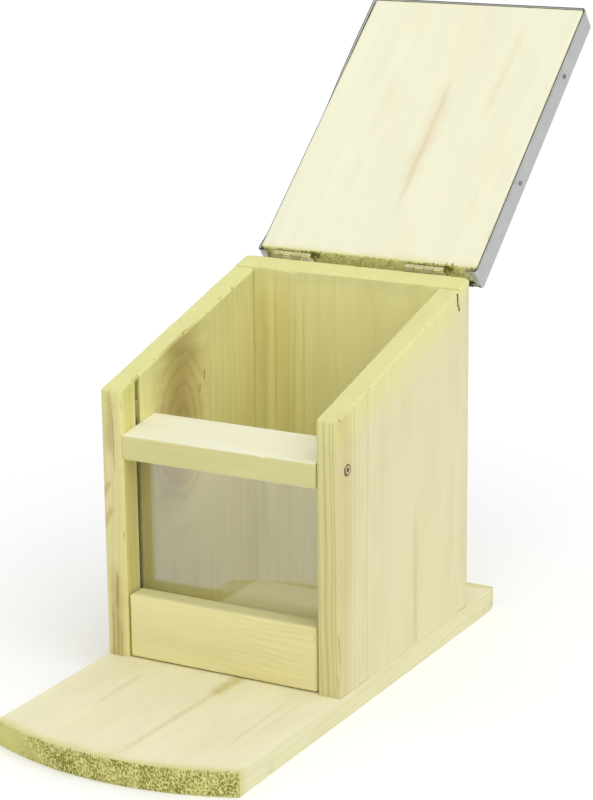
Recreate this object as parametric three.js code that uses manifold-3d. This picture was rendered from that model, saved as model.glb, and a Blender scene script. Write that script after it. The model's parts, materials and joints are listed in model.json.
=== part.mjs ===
// A squirrel feeder box: a nut hopper of thin boards on a base plank, with a clear pane in its front
// and a hinged lid that is covered with folded zinc-coated sheet. The lid stands open.
// Millimetres, +Z up, +Y to the rear, +X to the right seen from the front. The origin is on the
// plank's underside, on the box's centre line, below the front face of the box.

import * as THREE from 'three';
import { mergeVertices } from 'three/addons/utils/BufferGeometryUtils.js';
import Module from 'manifold-3d';

const wasm = await Module();
wasm.setup();

// Boards
const board_thickness = 12;
const arris = 0.8;
const corner_setback = 0.9;
const corner_radius = arris + corner_setback;

// Box
const box_width = 130;
const box_depth = 142;
const side_front_height = 136;
const roof_pitch = THREE.MathUtils.degToRad(15.2);

// Base plank
const plank_front_reach = 95;
const plank_front_crown = 14;
const plank_rear_ledge = 33.5;

// Clear pane and the saw grooves that hold it
const pane_thickness = 2.4;
const pane_clearance = 0.3;
const groove_depth = 4;

// Bottom rail, in front of the pane
const bottom_rail_height = 32.5;
const bottom_rail_setback = 0.8;
const bottom_rail_lift = 0.4;

// Top rail, over the pane, with a top face that rises to the rear
const top_rail_depth = 30;
const top_rail_front_height = 12.5;
const top_rail_pitch = THREE.MathUtils.degToRad(8);
const top_rail_drop = 34.2;
const rail_end_gap = 0.3;

// Lid, a little narrower than the box and set to the right of its middle
const lid_side_setback = 2.75;
const lid_front_overhang = 29.85;
const lid_shift = 4.5;
const lid_gap = 0.4;
const lid_opening = THREE.MathUtils.degToRad(154.6);

// Folded sheet on the lid
const sheet_thickness = 0.6;
const sheet_clearance = 0.3;
const sheet_lift = 1.2;
const sheet_fold_radius = 1.2;
const sheet_tab_width = 5;
const sheet_tab_tip = 1;

// Hinges
const hinge_length = 21;
const hinge_tab_gap = 4.05;
const barrel_radius = 1.9;
const barrel_drop = 1;
const knuckle_count = 4;
const knuckle_gap = 0.2;
const leaf_thickness = 0.8;
const leaf_margin = 1;
const leaf_seat = 0.3;
const leaf_corner = 0.8;
const leaf_notch_clearance = 0.4;
const hinge_pin_radius = 0.9;
const hinge_pin_clearance = 0.08;
const peen_radius = 1.4;
const peen_thickness = 0.5;

// Fasteners: each is a head, a shank and a pointed tip
const fastener_clearance = 0.3;
const wood_screw = {
  head_radius: 2.8,
  head_rim: 0.3,
  head_depth: 2,
  shank_radius: 1.5,
  length: 25,
  tip: 3,
  slot_length: 3.2,
  slot_width: 0.7,
  slot_depth: 0.9,
};
const hinge_screw = {
  head_radius: 1.7,
  head_rim: 0.2,
  head_depth: 1,
  shank_radius: 0.8,
  length: 8,
  tip: 1.5,
  slot_length: 2,
  slot_width: 0.5,
  slot_depth: 0.5,
};
const sheet_nail = {
  head_radius: 1.3,
  head_thickness: 0.5,
  shank_radius: 0.7,
  length: 12,
  tip: 1.5,
};

// Where the fasteners sit
const screw_sink = 0.3;
const top_rail_screw_setback = 9.6;
const top_rail_screw_rise = 8.3;
const base_screw_inset = 25;
const base_screw_side_inset = 35;
const back_screw_inset = 25;
const hinge_screw_spacing = 12;
const side_nail_rear_inset = 62;
const side_nail_front_inset = 41.5;
const front_nail_inset = 31;
const nail_rise = 7;

// Cuts run past the faces that they open by this much
const overrun = 2;

// Roundness
const arris_steps = 2;
const corner_steps = 3;
const crown_steps = 20;
const barrel_steps = 20;
const fastener_steps = 12;

// Places that follow from the sizes
const half_width = box_width / 2;
const inner_half_width = half_width - board_thickness;
const floor = board_thickness;
const back_front = box_depth - board_thickness;
const top_at = (y) => floor + side_front_height + y * Math.tan(roof_pitch);
const groove_front = bottom_rail_setback + board_thickness;
const groove_width = pane_thickness + 2 * pane_clearance;
const top_rail_underside = floor + side_front_height - top_rail_drop;
const axis_offset = barrel_radius + leaf_seat;
const axis_y = box_depth + axis_offset;
const axis_z = top_at(axis_y) + (barrel_drop + lid_gap) / Math.cos(roof_pitch);
const lid_board_width = box_width - 2 * lid_side_setback;
const lid_board_length = box_depth / Math.cos(roof_pitch) + lid_front_overhang;
const hinge_inset = lid_side_setback + lid_shift + sheet_tab_width + hinge_tab_gap;
const leaf_reach = board_thickness - barrel_drop - leaf_margin;
const leaf_notch = barrel_radius + leaf_notch_clearance;
const hinge_screw_reach = (leaf_notch + leaf_reach) / 2;

// Finishes
const pale_pine = { color: 0xdfd9a4, roughness: 0.72, metalness: 0 };
const lid_pine = { color: 0xefebcb, roughness: 0.72, metalness: 0 };
const zinc_sheet = { color: 0xb4b7b7, roughness: 0.42, metalness: 0.9 };
const pale_brass = { color: 0xd9c48a, roughness: 0.35, metalness: 0.9 };
const zinc_steel = { color: 0xa9a69a, roughness: 0.4, metalness: 0.9 };
const clear_plastic = { color: 0xf2f5f4, roughness: 0.08, metalness: 0, transparent: true, opacity: 0.3 };

// Shape tools

function solid(geometry) {
  const bare = geometry.clone();
  bare.deleteAttribute('normal');
  bare.deleteAttribute('uv');
  const merged = mergeVertices(bare);
  const vertProperties = new Float32Array(merged.attributes.position.array);
  const triVerts = new Uint32Array(merged.index.array);
  return new wasm.Manifold(new wasm.Mesh({ numProp: 3, vertProperties, triVerts }));
}

function geometryOf(body) {
  const mesh = body.getMesh();
  const geometry = new THREE.BufferGeometry();
  geometry.setAttribute('position', new THREE.BufferAttribute(mesh.vertProperties, 3));
  geometry.setIndex(new THREE.BufferAttribute(mesh.triVerts, 1));
  geometry.computeVertexNormals();
  return geometry;
}

// A closed outline through corners given as [x, y], each rounded over the same setback
function outline(corners, radius) {
  const points = corners.map(([x, y]) => new THREE.Vector2(x, y));
  const shape = new THREE.Shape();
  points.forEach((corner, index) => {
    const before = points[(index + points.length - 1) % points.length];
    const after = points[(index + 1) % points.length];
    const entry = before.clone().sub(corner).setLength(radius).add(corner);
    const exit = after.clone().sub(corner).setLength(radius).add(corner);
    if (index === 0) {
      shape.moveTo(entry.x, entry.y);
    } else {
      shape.lineTo(entry.x, entry.y);
    }
    shape.quadraticCurveTo(corner.x, corner.y, exit.x, exit.y);
  });
  shape.closePath();
  return shape;
}

// A slab from z = 0 to its thickness, with rounded arrises inside its outline
function slab(shape, thickness, rounding) {
  const geometry = new THREE.ExtrudeGeometry(shape, {
    depth: thickness - 2 * rounding,
    bevelThickness: rounding,
    bevelSize: rounding,
    bevelOffset: -rounding,
    bevelSegments: arris_steps,
    curveSegments: corner_steps,
  });
  return geometry.translate(0, 0, rounding);
}

// A slab whose outline is given in (y, z), from x = start to start + length
const turn_across = new THREE.Matrix4().makeBasis(
  new THREE.Vector3(0, 1, 0),
  new THREE.Vector3(0, 0, 1),
  new THREE.Vector3(1, 0, 0),
);

function across(corners, start, length, radius, rounding) {
  const geometry = slab(outline(corners, radius), length, rounding);
  return geometry.applyMatrix4(turn_across).translate(start, 0, 0);
}

function block(low, high) {
  const size = high.map((value, index) => value - low[index]);
  const geometry = new THREE.BoxGeometry(...size);
  return geometry.translate(...low.map((value, index) => value + size[index] / 2));
}

// A turned shape: its profile is [radius, height], and its height runs along a direction from a place
function turned(profile, place, direction, steps) {
  const points = profile.map(([radius, height]) => new THREE.Vector2(radius, height));
  const up = new THREE.Vector3(0, 1, 0);
  const turn = new THREE.Quaternion().setFromUnitVectors(up, direction);
  const geometry = new THREE.LatheGeometry(points, steps).applyQuaternion(turn);
  return geometry.translate(place.x, place.y, place.z);
}

// A screw with a countersunk head and a cross slot: its place is the middle of the head's top
function countersunkScrew({ place, out, type }) {
  const body = solid(turned([
    [0, -type.length],
    [type.shank_radius, type.tip - type.length],
    [type.shank_radius, -type.head_depth],
    [type.head_radius, -type.head_rim],
    [type.head_radius, 0],
    [0, 0],
  ], place, out, fastener_steps));
  const turn = new THREE.Quaternion().setFromUnitVectors(new THREE.Vector3(0, 1, 0), out);
  const arms = [[type.slot_length, type.slot_width], [type.slot_width, type.slot_length]];
  return arms.reduce((cut, [width, depth]) => {
    const low = [-width / 2, -type.slot_depth, -depth / 2];
    const arm = block(low, [width / 2, overrun, depth / 2]).applyQuaternion(turn);
    return cut.subtract(solid(arm.translate(place.x, place.y, place.z)));
  }, body);
}

function screwHole({ place, out, type }) {
  return solid(turned([
    [0, -type.length - fastener_clearance],
    [type.shank_radius + fastener_clearance, -type.length - fastener_clearance],
    [type.shank_radius + fastener_clearance, -type.head_depth - fastener_clearance],
    [type.head_radius + fastener_clearance, -type.head_rim - fastener_clearance],
    [type.head_radius + fastener_clearance, overrun],
    [0, overrun],
  ], place, out, fastener_steps));
}

// A nail with a low flat head: its place is the middle of the head's underside
function flatNail({ place, out, type }) {
  return solid(turned([
    [0, -type.length],
    [type.shank_radius, type.tip - type.length],
    [type.shank_radius, 0],
    [type.head_radius, 0],
    [type.shank_radius, type.head_thickness],
    [0, type.head_thickness],
  ], place, out, fastener_steps));
}

function nailHole({ place, out, type }) {
  return solid(turned([
    [0, -type.length - fastener_clearance],
    [type.shank_radius + fastener_clearance, -type.length - fastener_clearance],
    [type.shank_radius + fastener_clearance, overrun],
    [0, overrun],
  ], place, out, fastener_steps));
}

function drilled(body, holes) {
  return holes.reduce((left, hole) => left.subtract(hole), body);
}

// The scene graph: everything on the box, and a turned group at the hinge axis for the lid

const feeder = new THREE.Group();
const box = new THREE.Group();
const lid = new THREE.Group();
lid.position.set(0, axis_y, axis_z);
lid.rotation.x = roof_pitch - lid_opening;
feeder.add(box, lid);

function add(parent, name, body, finish) {
  const mesh = new THREE.Mesh(geometryOf(body), new THREE.MeshStandardMaterial(finish));
  mesh.name = name;
  parent.add(mesh);
}

const sides = [
  { side: 'left', sign: -1 },
  { side: 'right', sign: 1 },
];

// Where the screws of the box sit, before anything is drilled for them

const box_screws = [];

function addBoxScrew(name, place, out, type = wood_screw) {
  box_screws.push({ name, place, out, type });
}

const to_right = new THREE.Vector3(1, 0, 0);
const to_left = new THREE.Vector3(-1, 0, 0);
const to_rear = new THREE.Vector3(0, 1, 0);
const to_front = new THREE.Vector3(0, -1, 0);
const downward = new THREE.Vector3(0, 0, -1);

for (const { side, sign } of sides) {
  const outward = sign > 0 ? to_right : to_left;
  const panel_middle = sign * (half_width - board_thickness / 2);
  const face = sign * (half_width - screw_sink);
  const rail_height = top_rail_underside + top_rail_screw_rise;
  const rail_place = new THREE.Vector3(face, top_rail_screw_setback, rail_height);
  addBoxScrew(`top_rail_screw_${side}`, rail_place, outward);

  const base_places = { front: base_screw_inset, rear: back_front - base_screw_inset };
  for (const [end, y] of Object.entries(base_places)) {
    const place = new THREE.Vector3(panel_middle, y, screw_sink);
    addBoxScrew(`${side}_panel_base_screw_${end}`, place, downward);
  }

  const side_x = sign * (half_width - base_screw_side_inset);
  const back_place = new THREE.Vector3(side_x, box_depth - board_thickness / 2, screw_sink);
  const front_place = new THREE.Vector3(side_x, bottom_rail_setback + board_thickness / 2, screw_sink);
  addBoxScrew(`back_panel_base_screw_${side}`, back_place, downward);
  addBoxScrew(`bottom_rail_base_screw_${side}`, front_place, downward);

  const lowest = floor + back_screw_inset;
  const highest = top_at(box_depth) - back_screw_inset;
  const heights = { low: lowest, middle: (lowest + highest) / 2, high: highest };
  for (const [level, z] of Object.entries(heights)) {
    const place = new THREE.Vector3(panel_middle, box_depth - screw_sink, z);
    addBoxScrew(`back_panel_${side}_screw_${level}`, place, to_rear);
  }
}

// The hinges, seen along their axis: a leaf's wood side faces -y, and it runs along the axis in x

const hinge_starts = { left: hinge_inset - half_width, right: half_width - hinge_inset - hinge_length };
const knuckle_length = (hinge_length - (knuckle_count - 1) * knuckle_gap) / knuckle_count;
const leaf_face = leaf_thickness - barrel_radius;

function cylinderAcross(radius, start, length, steps) {
  return solid(turned([
    [0, 0],
    [radius, 0],
    [radius, length],
    [0, length],
  ], new THREE.Vector3(start, 0, 0), to_right, steps));
}

// One leaf about an axis at y = z = 0, running up or down from it, with every second knuckle
function hingeLeaf(start, first_knuckle, updown) {
  const corners = [
    [start, 0],
    [start + hinge_length, 0],
    [start + hinge_length, leaf_reach],
    [start, leaf_reach],
  ];
  const plate = slab(outline(corners, leaf_corner), leaf_thickness, 0);
  plate.rotateX(Math.PI / 2);
  plate.translate(0, leaf_face, 0);
  let leaf = solid(plate);
  for (let index = 0; index < knuckle_count; index += 1) {
    const knuckle_start = start + index * (knuckle_length + knuckle_gap);
    if (index % 2 === first_knuckle) {
      const root = [knuckle_start, -barrel_radius, 0];
      const root_end = [knuckle_start + knuckle_length, leaf_face, barrel_radius];
      leaf = leaf.add(cylinderAcross(barrel_radius, knuckle_start, knuckle_length, barrel_steps));
      leaf = leaf.add(solid(block(root, root_end)));
    } else {
      const knuckle_end = knuckle_start + knuckle_length;
      const low = [knuckle_start - knuckle_gap, -barrel_radius - overrun, -overrun];
      const high = [knuckle_end + knuckle_gap, overrun, leaf_notch];
      leaf = leaf.subtract(solid(block(low, high)));
    }
  }
  const bore_radius = hinge_pin_radius + hinge_pin_clearance;
  const bore_start = start - overrun;
  leaf = leaf.subtract(cylinderAcross(bore_radius, bore_start, hinge_length + 2 * overrun, barrel_steps));
  return updown > 0 ? leaf : leaf.mirror([0, 0, 1]);
}

function hingePin(start) {
  return solid(turned([
    [0, -peen_thickness - knuckle_gap],
    [peen_radius, -peen_thickness - knuckle_gap],
    [peen_radius, -knuckle_gap],
    [hinge_pin_radius, -knuckle_gap],
    [hinge_pin_radius, hinge_length + knuckle_gap],
    [peen_radius, hinge_length + knuckle_gap],
    [peen_radius, hinge_length + knuckle_gap + peen_thickness],
    [0, hinge_length + knuckle_gap + peen_thickness],
  ], new THREE.Vector3(start, 0, 0), to_right, barrel_steps));
}

// The screws of a leaf, on the axis frame, at a height above or below the axis
function leafScrews(side, owner, height) {
  const middle = hinge_starts[side] + hinge_length / 2;
  return [-1, 1].map((sign) => ({
    name: `${side}_hinge_${owner}_screw_${sign < 0 ? 'left' : 'right'}`,
    place: new THREE.Vector3(middle + sign * hinge_screw_spacing / 2, leaf_face, height),
    out: to_rear,
    type: hinge_screw,
  }));
}

const lid_screws = sides.flatMap(({ side }) => leafScrews(side, 'lid', hinge_screw_reach));

for (const { side } of sides) {
  const start = hinge_starts[side];
  const box_leaf_screws = leafScrews(side, 'box', -hinge_screw_reach);
  const leaf_holes = box_leaf_screws.map(screwHole);
  const box_leaf = drilled(hingeLeaf(start, 0, -1), leaf_holes).translate([0, axis_y, axis_z]);
  add(box, `${side}_hinge_box_leaf`, box_leaf, pale_brass);
  add(box, `${side}_hinge_pin`, hingePin(start).translate([0, axis_y, axis_z]), pale_brass);
  for (const { name, place, out, type } of box_leaf_screws) {
    addBoxScrew(name, place.clone().add(new THREE.Vector3(0, axis_y, axis_z)), out, type);
  }
  const lid_leaf = drilled(hingeLeaf(start, 1, 1), lid_screws.map(screwHole));
  add(lid, `${side}_hinge_lid_leaf`, lid_leaf, pale_brass);
}

for (const screw of box_screws) {
  add(box, screw.name, countersunkScrew(screw), screw.type === hinge_screw ? pale_brass : zinc_steel);
}
for (const screw of lid_screws) {
  add(lid, screw.name, countersunkScrew(screw), pale_brass);
}

// The boards of the box, each drilled for every screw that passes through it

const box_holes = box_screws.map(screwHole);

function addBoard(name, body) {
  add(box, name, drilled(body, box_holes), pale_pine);
}

function basePlank() {
  const crown_radius = (half_width ** 2 + plank_front_crown ** 2) / (2 * plank_front_crown);
  const crown_middle = crown_radius - plank_front_crown - plank_front_reach;
  const sweep = Math.asin(half_width / crown_radius);
  const rear = box_depth + plank_rear_ledge;
  const shape = new THREE.Shape();
  shape.moveTo(-half_width, -plank_front_reach);
  for (let step = 1; step <= crown_steps; step += 1) {
    const angle = sweep * (2 * step / crown_steps - 1);
    shape.lineTo(crown_radius * Math.sin(angle), crown_middle - crown_radius * Math.cos(angle));
  }
  shape.lineTo(half_width, rear - corner_radius);
  shape.quadraticCurveTo(half_width, rear, half_width - corner_radius, rear);
  shape.lineTo(corner_radius - half_width, rear);
  shape.quadraticCurveTo(-half_width, rear, -half_width, rear - corner_radius);
  shape.closePath();
  return solid(slab(shape, board_thickness, arris));
}

function sidePanel(sign) {
  const inner = sign * inner_half_width;
  const outer = sign * half_width;
  const corners = [
    [0, floor],
    [back_front, floor],
    [back_front, top_at(back_front)],
    [0, top_at(0)],
  ];
  const body = solid(across(corners, Math.min(inner, outer), board_thickness, corner_radius, arris));
  const groove_bottom = inner + sign * groove_depth;
  const groove_mouth = inner - sign * overrun;
  const low = [Math.min(groove_bottom, groove_mouth), groove_front, floor - overrun];
  const high = [Math.max(groove_bottom, groove_mouth), groove_front + groove_width, top_at(box_depth)];
  return body.subtract(solid(block(low, high)));
}

function backPanel() {
  const corners = [
    [back_front, floor],
    [box_depth, floor],
    [box_depth, top_at(box_depth)],
    [back_front, top_at(back_front)],
  ];
  return solid(across(corners, -half_width, box_width, corner_radius, arris));
}

function bottomRail() {
  const under = floor + bottom_rail_lift;
  const corners = [
    [bottom_rail_setback, under],
    [groove_front, under],
    [groove_front, under + bottom_rail_height],
    [bottom_rail_setback, under + bottom_rail_height],
  ];
  const half_length = inner_half_width - rail_end_gap;
  return solid(across(corners, -half_length, 2 * half_length, corner_radius, arris));
}

function topRail() {
  const rear_height = top_rail_front_height + top_rail_depth * Math.tan(top_rail_pitch);
  const corners = [
    [0, top_rail_underside],
    [top_rail_depth, top_rail_underside],
    [top_rail_depth, top_rail_underside + rear_height],
    [0, top_rail_underside + top_rail_front_height],
  ];
  const half_length = inner_half_width - rail_end_gap;
  return solid(across(corners, -half_length, 2 * half_length, corner_radius, arris));
}

function windowPane() {
  const half_length = inner_half_width + groove_depth - pane_clearance;
  const front = groove_front + pane_clearance;
  const low = [-half_length, front, floor + pane_clearance];
  const high = [half_length, front + pane_thickness, top_rail_underside - pane_clearance];
  return solid(block(low, high));
}

addBoard('base_plank', basePlank());
addBoard('left_side_panel', sidePanel(-1));
addBoard('right_side_panel', sidePanel(1));
addBoard('back_panel', backPanel());
addBoard('bottom_rail', bottomRail());
addBoard('top_rail', topRail());
add(box, 'window_pane', windowPane(), clear_plastic);

// The lid, level and closed in its group: its hinge end is at -axis_offset, its front further to -y

const lid_rear = -axis_offset;
const lid_front = lid_rear - lid_board_length;
const lid_underside = -barrel_drop;
const lid_half_width = lid_board_width / 2;
const sheet_reach = sheet_clearance + sheet_thickness;
const cover_top = lid_underside + board_thickness + sheet_lift + sheet_thickness;

const cover_nails = [];

for (const { side, sign } of sides) {
  const outward = sign > 0 ? to_right : to_left;
  const face = lid_shift + sign * (lid_half_width + sheet_reach + fastener_clearance);
  const height = lid_underside + nail_rise;
  const places = { rear: lid_rear - side_nail_rear_inset, front: lid_front + side_nail_front_inset };
  for (const [end, y] of Object.entries(places)) {
    cover_nails.push({
      name: `lid_cover_${side}_nail_${end}`,
      place: new THREE.Vector3(face, y, height),
      out: outward,
      type: sheet_nail,
    });
  }
  cover_nails.push({
    name: `lid_cover_front_nail_${side}`,
    place: new THREE.Vector3(
      lid_shift + sign * (lid_half_width - front_nail_inset),
      lid_front - sheet_reach - fastener_clearance,
      height,
    ),
    out: to_front,
    type: sheet_nail,
  });
}

// A rectangle about the lid's middle, grown from the board's edges, as the corners of an outline
function lidCorners(growth) {
  const left = lid_shift - lid_half_width - growth;
  const right = lid_shift + lid_half_width + growth;
  return [
    [left, lid_front - growth],
    [right, lid_front - growth],
    [right, lid_rear + growth],
    [left, lid_rear + growth],
  ];
}

function lidBoard() {
  const shape = outline(lidCorners(0), corner_radius);
  return solid(slab(shape, board_thickness, arris).translate(0, 0, lid_underside));
}

function lidCover() {
  const skirt = 2 * overrun;
  const outer_shape = outline(lidCorners(sheet_reach), corner_radius + sheet_reach);
  const inner_shape = outline(lidCorners(sheet_clearance), corner_radius + sheet_clearance);
  const outer_height = cover_top - lid_underside + skirt;
  const inner_rounding = Math.max(sheet_fold_radius - sheet_thickness, sheet_thickness / 2);
  const outer = slab(outer_shape, outer_height, sheet_fold_radius);
  const inner = slab(inner_shape, outer_height - sheet_thickness, inner_rounding);
  outer.translate(0, 0, lid_underside - skirt);
  inner.translate(0, 0, lid_underside - skirt);
  const half_reach = lid_half_width + sheet_reach + overrun;
  const below = block(
    [lid_shift - half_reach, lid_front - sheet_reach - overrun, lid_underside - skirt - overrun],
    [lid_shift + half_reach, lid_rear + sheet_reach + overrun, lid_underside],
  );
  const root = lid_half_width - sheet_tab_width;
  const tip = lid_half_width - sheet_tab_tip;
  const window = new THREE.Shape([
    new THREE.Vector2(lid_shift - root, lid_underside - overrun),
    new THREE.Vector2(lid_shift + root, lid_underside - overrun),
    new THREE.Vector2(lid_shift + tip, cover_top + overrun),
    new THREE.Vector2(lid_shift - tip, cover_top + overrun),
  ]);
  const depth = sheet_reach + overrun;
  const opening = new THREE.ExtrudeGeometry(window, { depth, bevelEnabled: false });
  opening.rotateX(Math.PI / 2);
  opening.translate(0, lid_rear + depth, 0);
  return solid(outer).subtract(solid(inner)).subtract(solid(below)).subtract(solid(opening));
}

const lid_holes = [...lid_screws.map(screwHole), ...cover_nails.map(nailHole)];

add(lid, 'lid_board', drilled(lidBoard(), lid_holes), lid_pine);
add(lid, 'lid_cover', drilled(lidCover(), lid_holes), zinc_sheet);
for (const nail of cover_nails) {
  add(lid, nail.name, flatNail(nail), zinc_steel);
}

export default feeder;
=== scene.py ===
# %% [markdown]
# # A squirrel feeder box in pressure-treated pine
#
# The real object is a small box of thin pine boards on a plank, with a clear window in its front.
# Its lid is covered with folded zinc-coated sheet and hangs on two small brass-plated hinges.
#
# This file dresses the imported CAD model, piece by piece. Each piece is modelled in millimetres with
# bmesh operators, then brought to metres, so that its place in the CAD frame is in its mesh. Each
# finish is a node tree that reads Object coordinates, so it stays on its piece when the lid swings.

# %% Load the frame
import json
import math
from functools import partial

import bmesh
import bpy
from mathutils import Matrix, Vector, noise


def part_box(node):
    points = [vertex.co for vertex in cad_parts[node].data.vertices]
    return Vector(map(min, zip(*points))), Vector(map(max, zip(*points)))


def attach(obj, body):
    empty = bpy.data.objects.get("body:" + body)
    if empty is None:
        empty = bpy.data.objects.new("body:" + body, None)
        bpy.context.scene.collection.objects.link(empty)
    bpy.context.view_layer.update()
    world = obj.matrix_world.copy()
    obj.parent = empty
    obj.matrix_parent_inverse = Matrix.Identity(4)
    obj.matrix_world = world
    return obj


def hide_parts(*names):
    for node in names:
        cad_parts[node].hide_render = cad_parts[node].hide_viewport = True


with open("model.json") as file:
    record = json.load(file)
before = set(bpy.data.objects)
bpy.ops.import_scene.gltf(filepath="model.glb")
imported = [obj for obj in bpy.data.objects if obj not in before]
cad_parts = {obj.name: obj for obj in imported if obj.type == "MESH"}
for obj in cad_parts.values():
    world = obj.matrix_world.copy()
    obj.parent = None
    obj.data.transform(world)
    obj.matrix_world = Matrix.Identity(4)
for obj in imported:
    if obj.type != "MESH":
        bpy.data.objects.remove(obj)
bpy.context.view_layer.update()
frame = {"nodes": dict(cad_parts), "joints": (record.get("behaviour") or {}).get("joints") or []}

# %% [markdown]
# ## Camera, floor and light
#
# The camera stands where the photograph's did: its place and turn were worked out from the straight
# edges of the boards. A long lens keeps those edges nearly parallel. It could be aimed with a Track
# To constraint, but three plain turns say the same thing.

# %% Camera
MM = 0.001
IMAGE_WIDTH_PX = 593
FOCAL_PX = 2464.8
SENSOR_WIDTH = 36.0
EYE = Vector((573.6, -955.6, 458.0))
HEADING, LOOKING_DOWN, ROLL = 29.023, 15.462, -0.6375
scene = bpy.context.scene


def in_scene(name, data):
    """A new object in the scene."""
    thing = bpy.data.objects.new(name, data)
    scene.collection.objects.link(thing)
    return thing


camera_data = bpy.data.cameras.new("camera")
camera_data.sensor_fit = "HORIZONTAL"
camera_data.sensor_width = SENSOR_WIDTH
camera_data.lens = FOCAL_PX * SENSOR_WIDTH / IMAGE_WIDTH_PX
camera_data.clip_start = 0.01
camera = in_scene("camera", camera_data)
camera.matrix_world = (
    Matrix.Translation(EYE * MM)
    @ Matrix.Rotation(math.radians(HEADING), 4, "Z")
    @ Matrix.Rotation(math.radians(90 - LOOKING_DOWN), 4, "X")
    @ Matrix.Rotation(math.radians(ROLL), 4, "Z")
)
bpy.context.scene.camera = camera
print("lens %.1f mm" % camera_data.lens)

# %% [markdown]
# The floor is a wide sheet of matt white paper, as in a studio. Standard view colours keep the pale
# wood as bright as it is; a filmic view would grey it.

# %% Colours and nodes
def linear(hex_colour):
    """An sRGB hex value as linear red, green, blue and alpha."""
    channels = [int(hex_colour[i:i + 2], 16) / 255 for i in (1, 3, 5)]
    return [c / 12.92 if c <= 0.04045 else ((c + 0.055) / 1.055) ** 2.4 for c in channels] + [1.0]


def add(tree, kind, *values, out=0, **settings):
    """Adds a node, sets it, links or fills its inputs, and gives back one of its outputs. Values
    fill the inputs in order; a dict among them names the inputs that it fills. A hex colour is
    turned to linear."""
    node = tree.nodes.new("ShaderNode" + kind)
    for name, value in settings.items():
        setattr(node, name, value)
    for place, value in enumerate(values):
        named = value if isinstance(value, dict) else {place: value}
        for key, item in named.items():
            if isinstance(item, bpy.types.NodeSocket):
                tree.links.new(item, node.inputs[key])
            else:
                node.inputs[key].default_value = linear(item) if isinstance(item, str) else item
    return node.outputs[out] if len(node.outputs) else node


def new_material(name):
    """A material with an empty tree, and a put that adds nodes to it."""
    material = bpy.data.materials.new(name)
    material.use_nodes = True
    material.node_tree.nodes.clear()
    print("finish", name)
    return material, partial(add, material.node_tree)


# Settings that many nodes share. A Mix node takes its share at input 0, its colours at 6 and 7.
BLEND = {"data_type": "RGBA", "out": 2}
TINT = {**BLEND, "blend_type": "MULTIPLY"}
SMOOTH = {"interpolation_type": "SMOOTHSTEP"}
TIMES = {"operation": "MULTIPLY"}
TIMES_PLUS = {"operation": "MULTIPLY_ADD"}
HIGHEST = {"operation": "MAXIMUM"}
LESS = {"operation": "SUBTRACT"}
DOT = {"operation": "DOT_PRODUCT", "out": "Value"}
LENGTH = {"operation": "LENGTH", "out": "Value"}


# %% Floor
FLOOR_SIZE = 240.0

floor_mesh = bpy.data.meshes.new("floor")
bm = bmesh.new()
bmesh.ops.create_grid(bm, x_segments=1, y_segments=1, size=FLOOR_SIZE / 2)
bm.to_mesh(floor_mesh)
bm.free()
floor = in_scene("floor", floor_mesh)

floor_material, put = new_material("matt_white_paper_floor")
shader = put("BsdfPrincipled", {
    "Base Color": "#fcfcfb", "Roughness": 0.9, "Specular IOR Level": 0.2})
put("OutputMaterial", shader)
floor_mesh.materials.append(floor_material)
print("floor", FLOOR_SIZE, "m wide")

# %% Light
SKY_STRENGTH = 0.755
KEY_STRENGTH = 1.25
KEY_FROM = Vector((0.5, -0.22, 0.84))
KEY_SOFTNESS = math.radians(70)

world = bpy.data.worlds.new("studio")
scene.world = world
world.use_nodes = True
world.node_tree.nodes.clear()
sky = add(world.node_tree, "Background", "#fdfdff", SKY_STRENGTH)
add(world.node_tree, "OutputWorld", sky)

key_data = bpy.data.lights.new("key", "SUN")
key_data.energy = KEY_STRENGTH
key_data.angle = KEY_SOFTNESS
key = in_scene("key", key_data)
key.matrix_world = (-KEY_FROM).to_track_quat("-Z", "Y").to_matrix().to_4x4()

view = scene.view_settings
view.view_transform, view.look, view.exposure = "Standard", "None", 0.0

# %% [markdown]
# ## Sizes and directions that several pieces share
#
# They repeat the CAD's, in millimetres. What a node's box can give is read from the node instead.

# %% Sizes
RIGHT, FRONT, REAR = (1, 0, 0), (0, -1, 0), (0, 1, 0)
UP, DOWN = (0, 0, 1), (0, 0, -1)
BOARD = 12.0
HALF_WIDTH = 65.0
DEPTH = 142.0
FRONT_HEIGHT = 136.0
NEAR = 0.1  # a point this near to a face counts as on it
ROOF_PITCH = math.radians(15.2)
LID_OPENING = math.radians(154.6)
AXIS = Vector(frame["joints"][0]["pos_m"]) / MM

LID_TO_BOX = Matrix.Translation(AXIS) @ Matrix.Rotation(ROOF_PITCH - LID_OPENING, 4, "X")


def node_box(node):
    """A CAD node's lowest and highest corners, in millimetres."""
    low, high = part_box(node)
    return low / MM, high / MM


def roof_height(y):
    """The height of the sloping tops of the sides and the back."""
    return BOARD + FRONT_HEIGHT + y * math.tan(ROOF_PITCH)


def below_roof(place):
    """How far a place lies under the sloping tops, square to the slope."""
    return (roof_height(place.y) - place.z) * math.cos(ROOF_PITCH)


print("hinge axis at y %.1f z %.2f" % (AXIS.y, AXIS.z))

# %% [markdown]
# ## Tools for boards
#
# A sawn board is a block whose arrises have been eased with abrasive paper. Each board here starts
# as a cube that is stretched to its size, and its edges are bevelled. Holes are cut with a Boolean
# while it is still coarse. Then it is sliced into small faces, so that its corners can wander by
# tenths of a millimetre, as real wood does. A Displace modifier could do that last step, but moving
# the vertices lets each face have its own roughness.

# %% Blocks and rounded edges
def block(low, high, bm=None):
    """Adds a block between two corners to a bmesh, or to a new one."""
    bm = bmesh.new() if bm is None else bm
    verts = bmesh.ops.create_cube(bm, size=1)["verts"]
    low, high = Vector(low), Vector(high)
    bmesh.ops.scale(bm, vec=high - low, verts=verts)
    bmesh.ops.translate(bm, vec=(low + high) / 2, verts=verts)
    return bm


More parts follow.
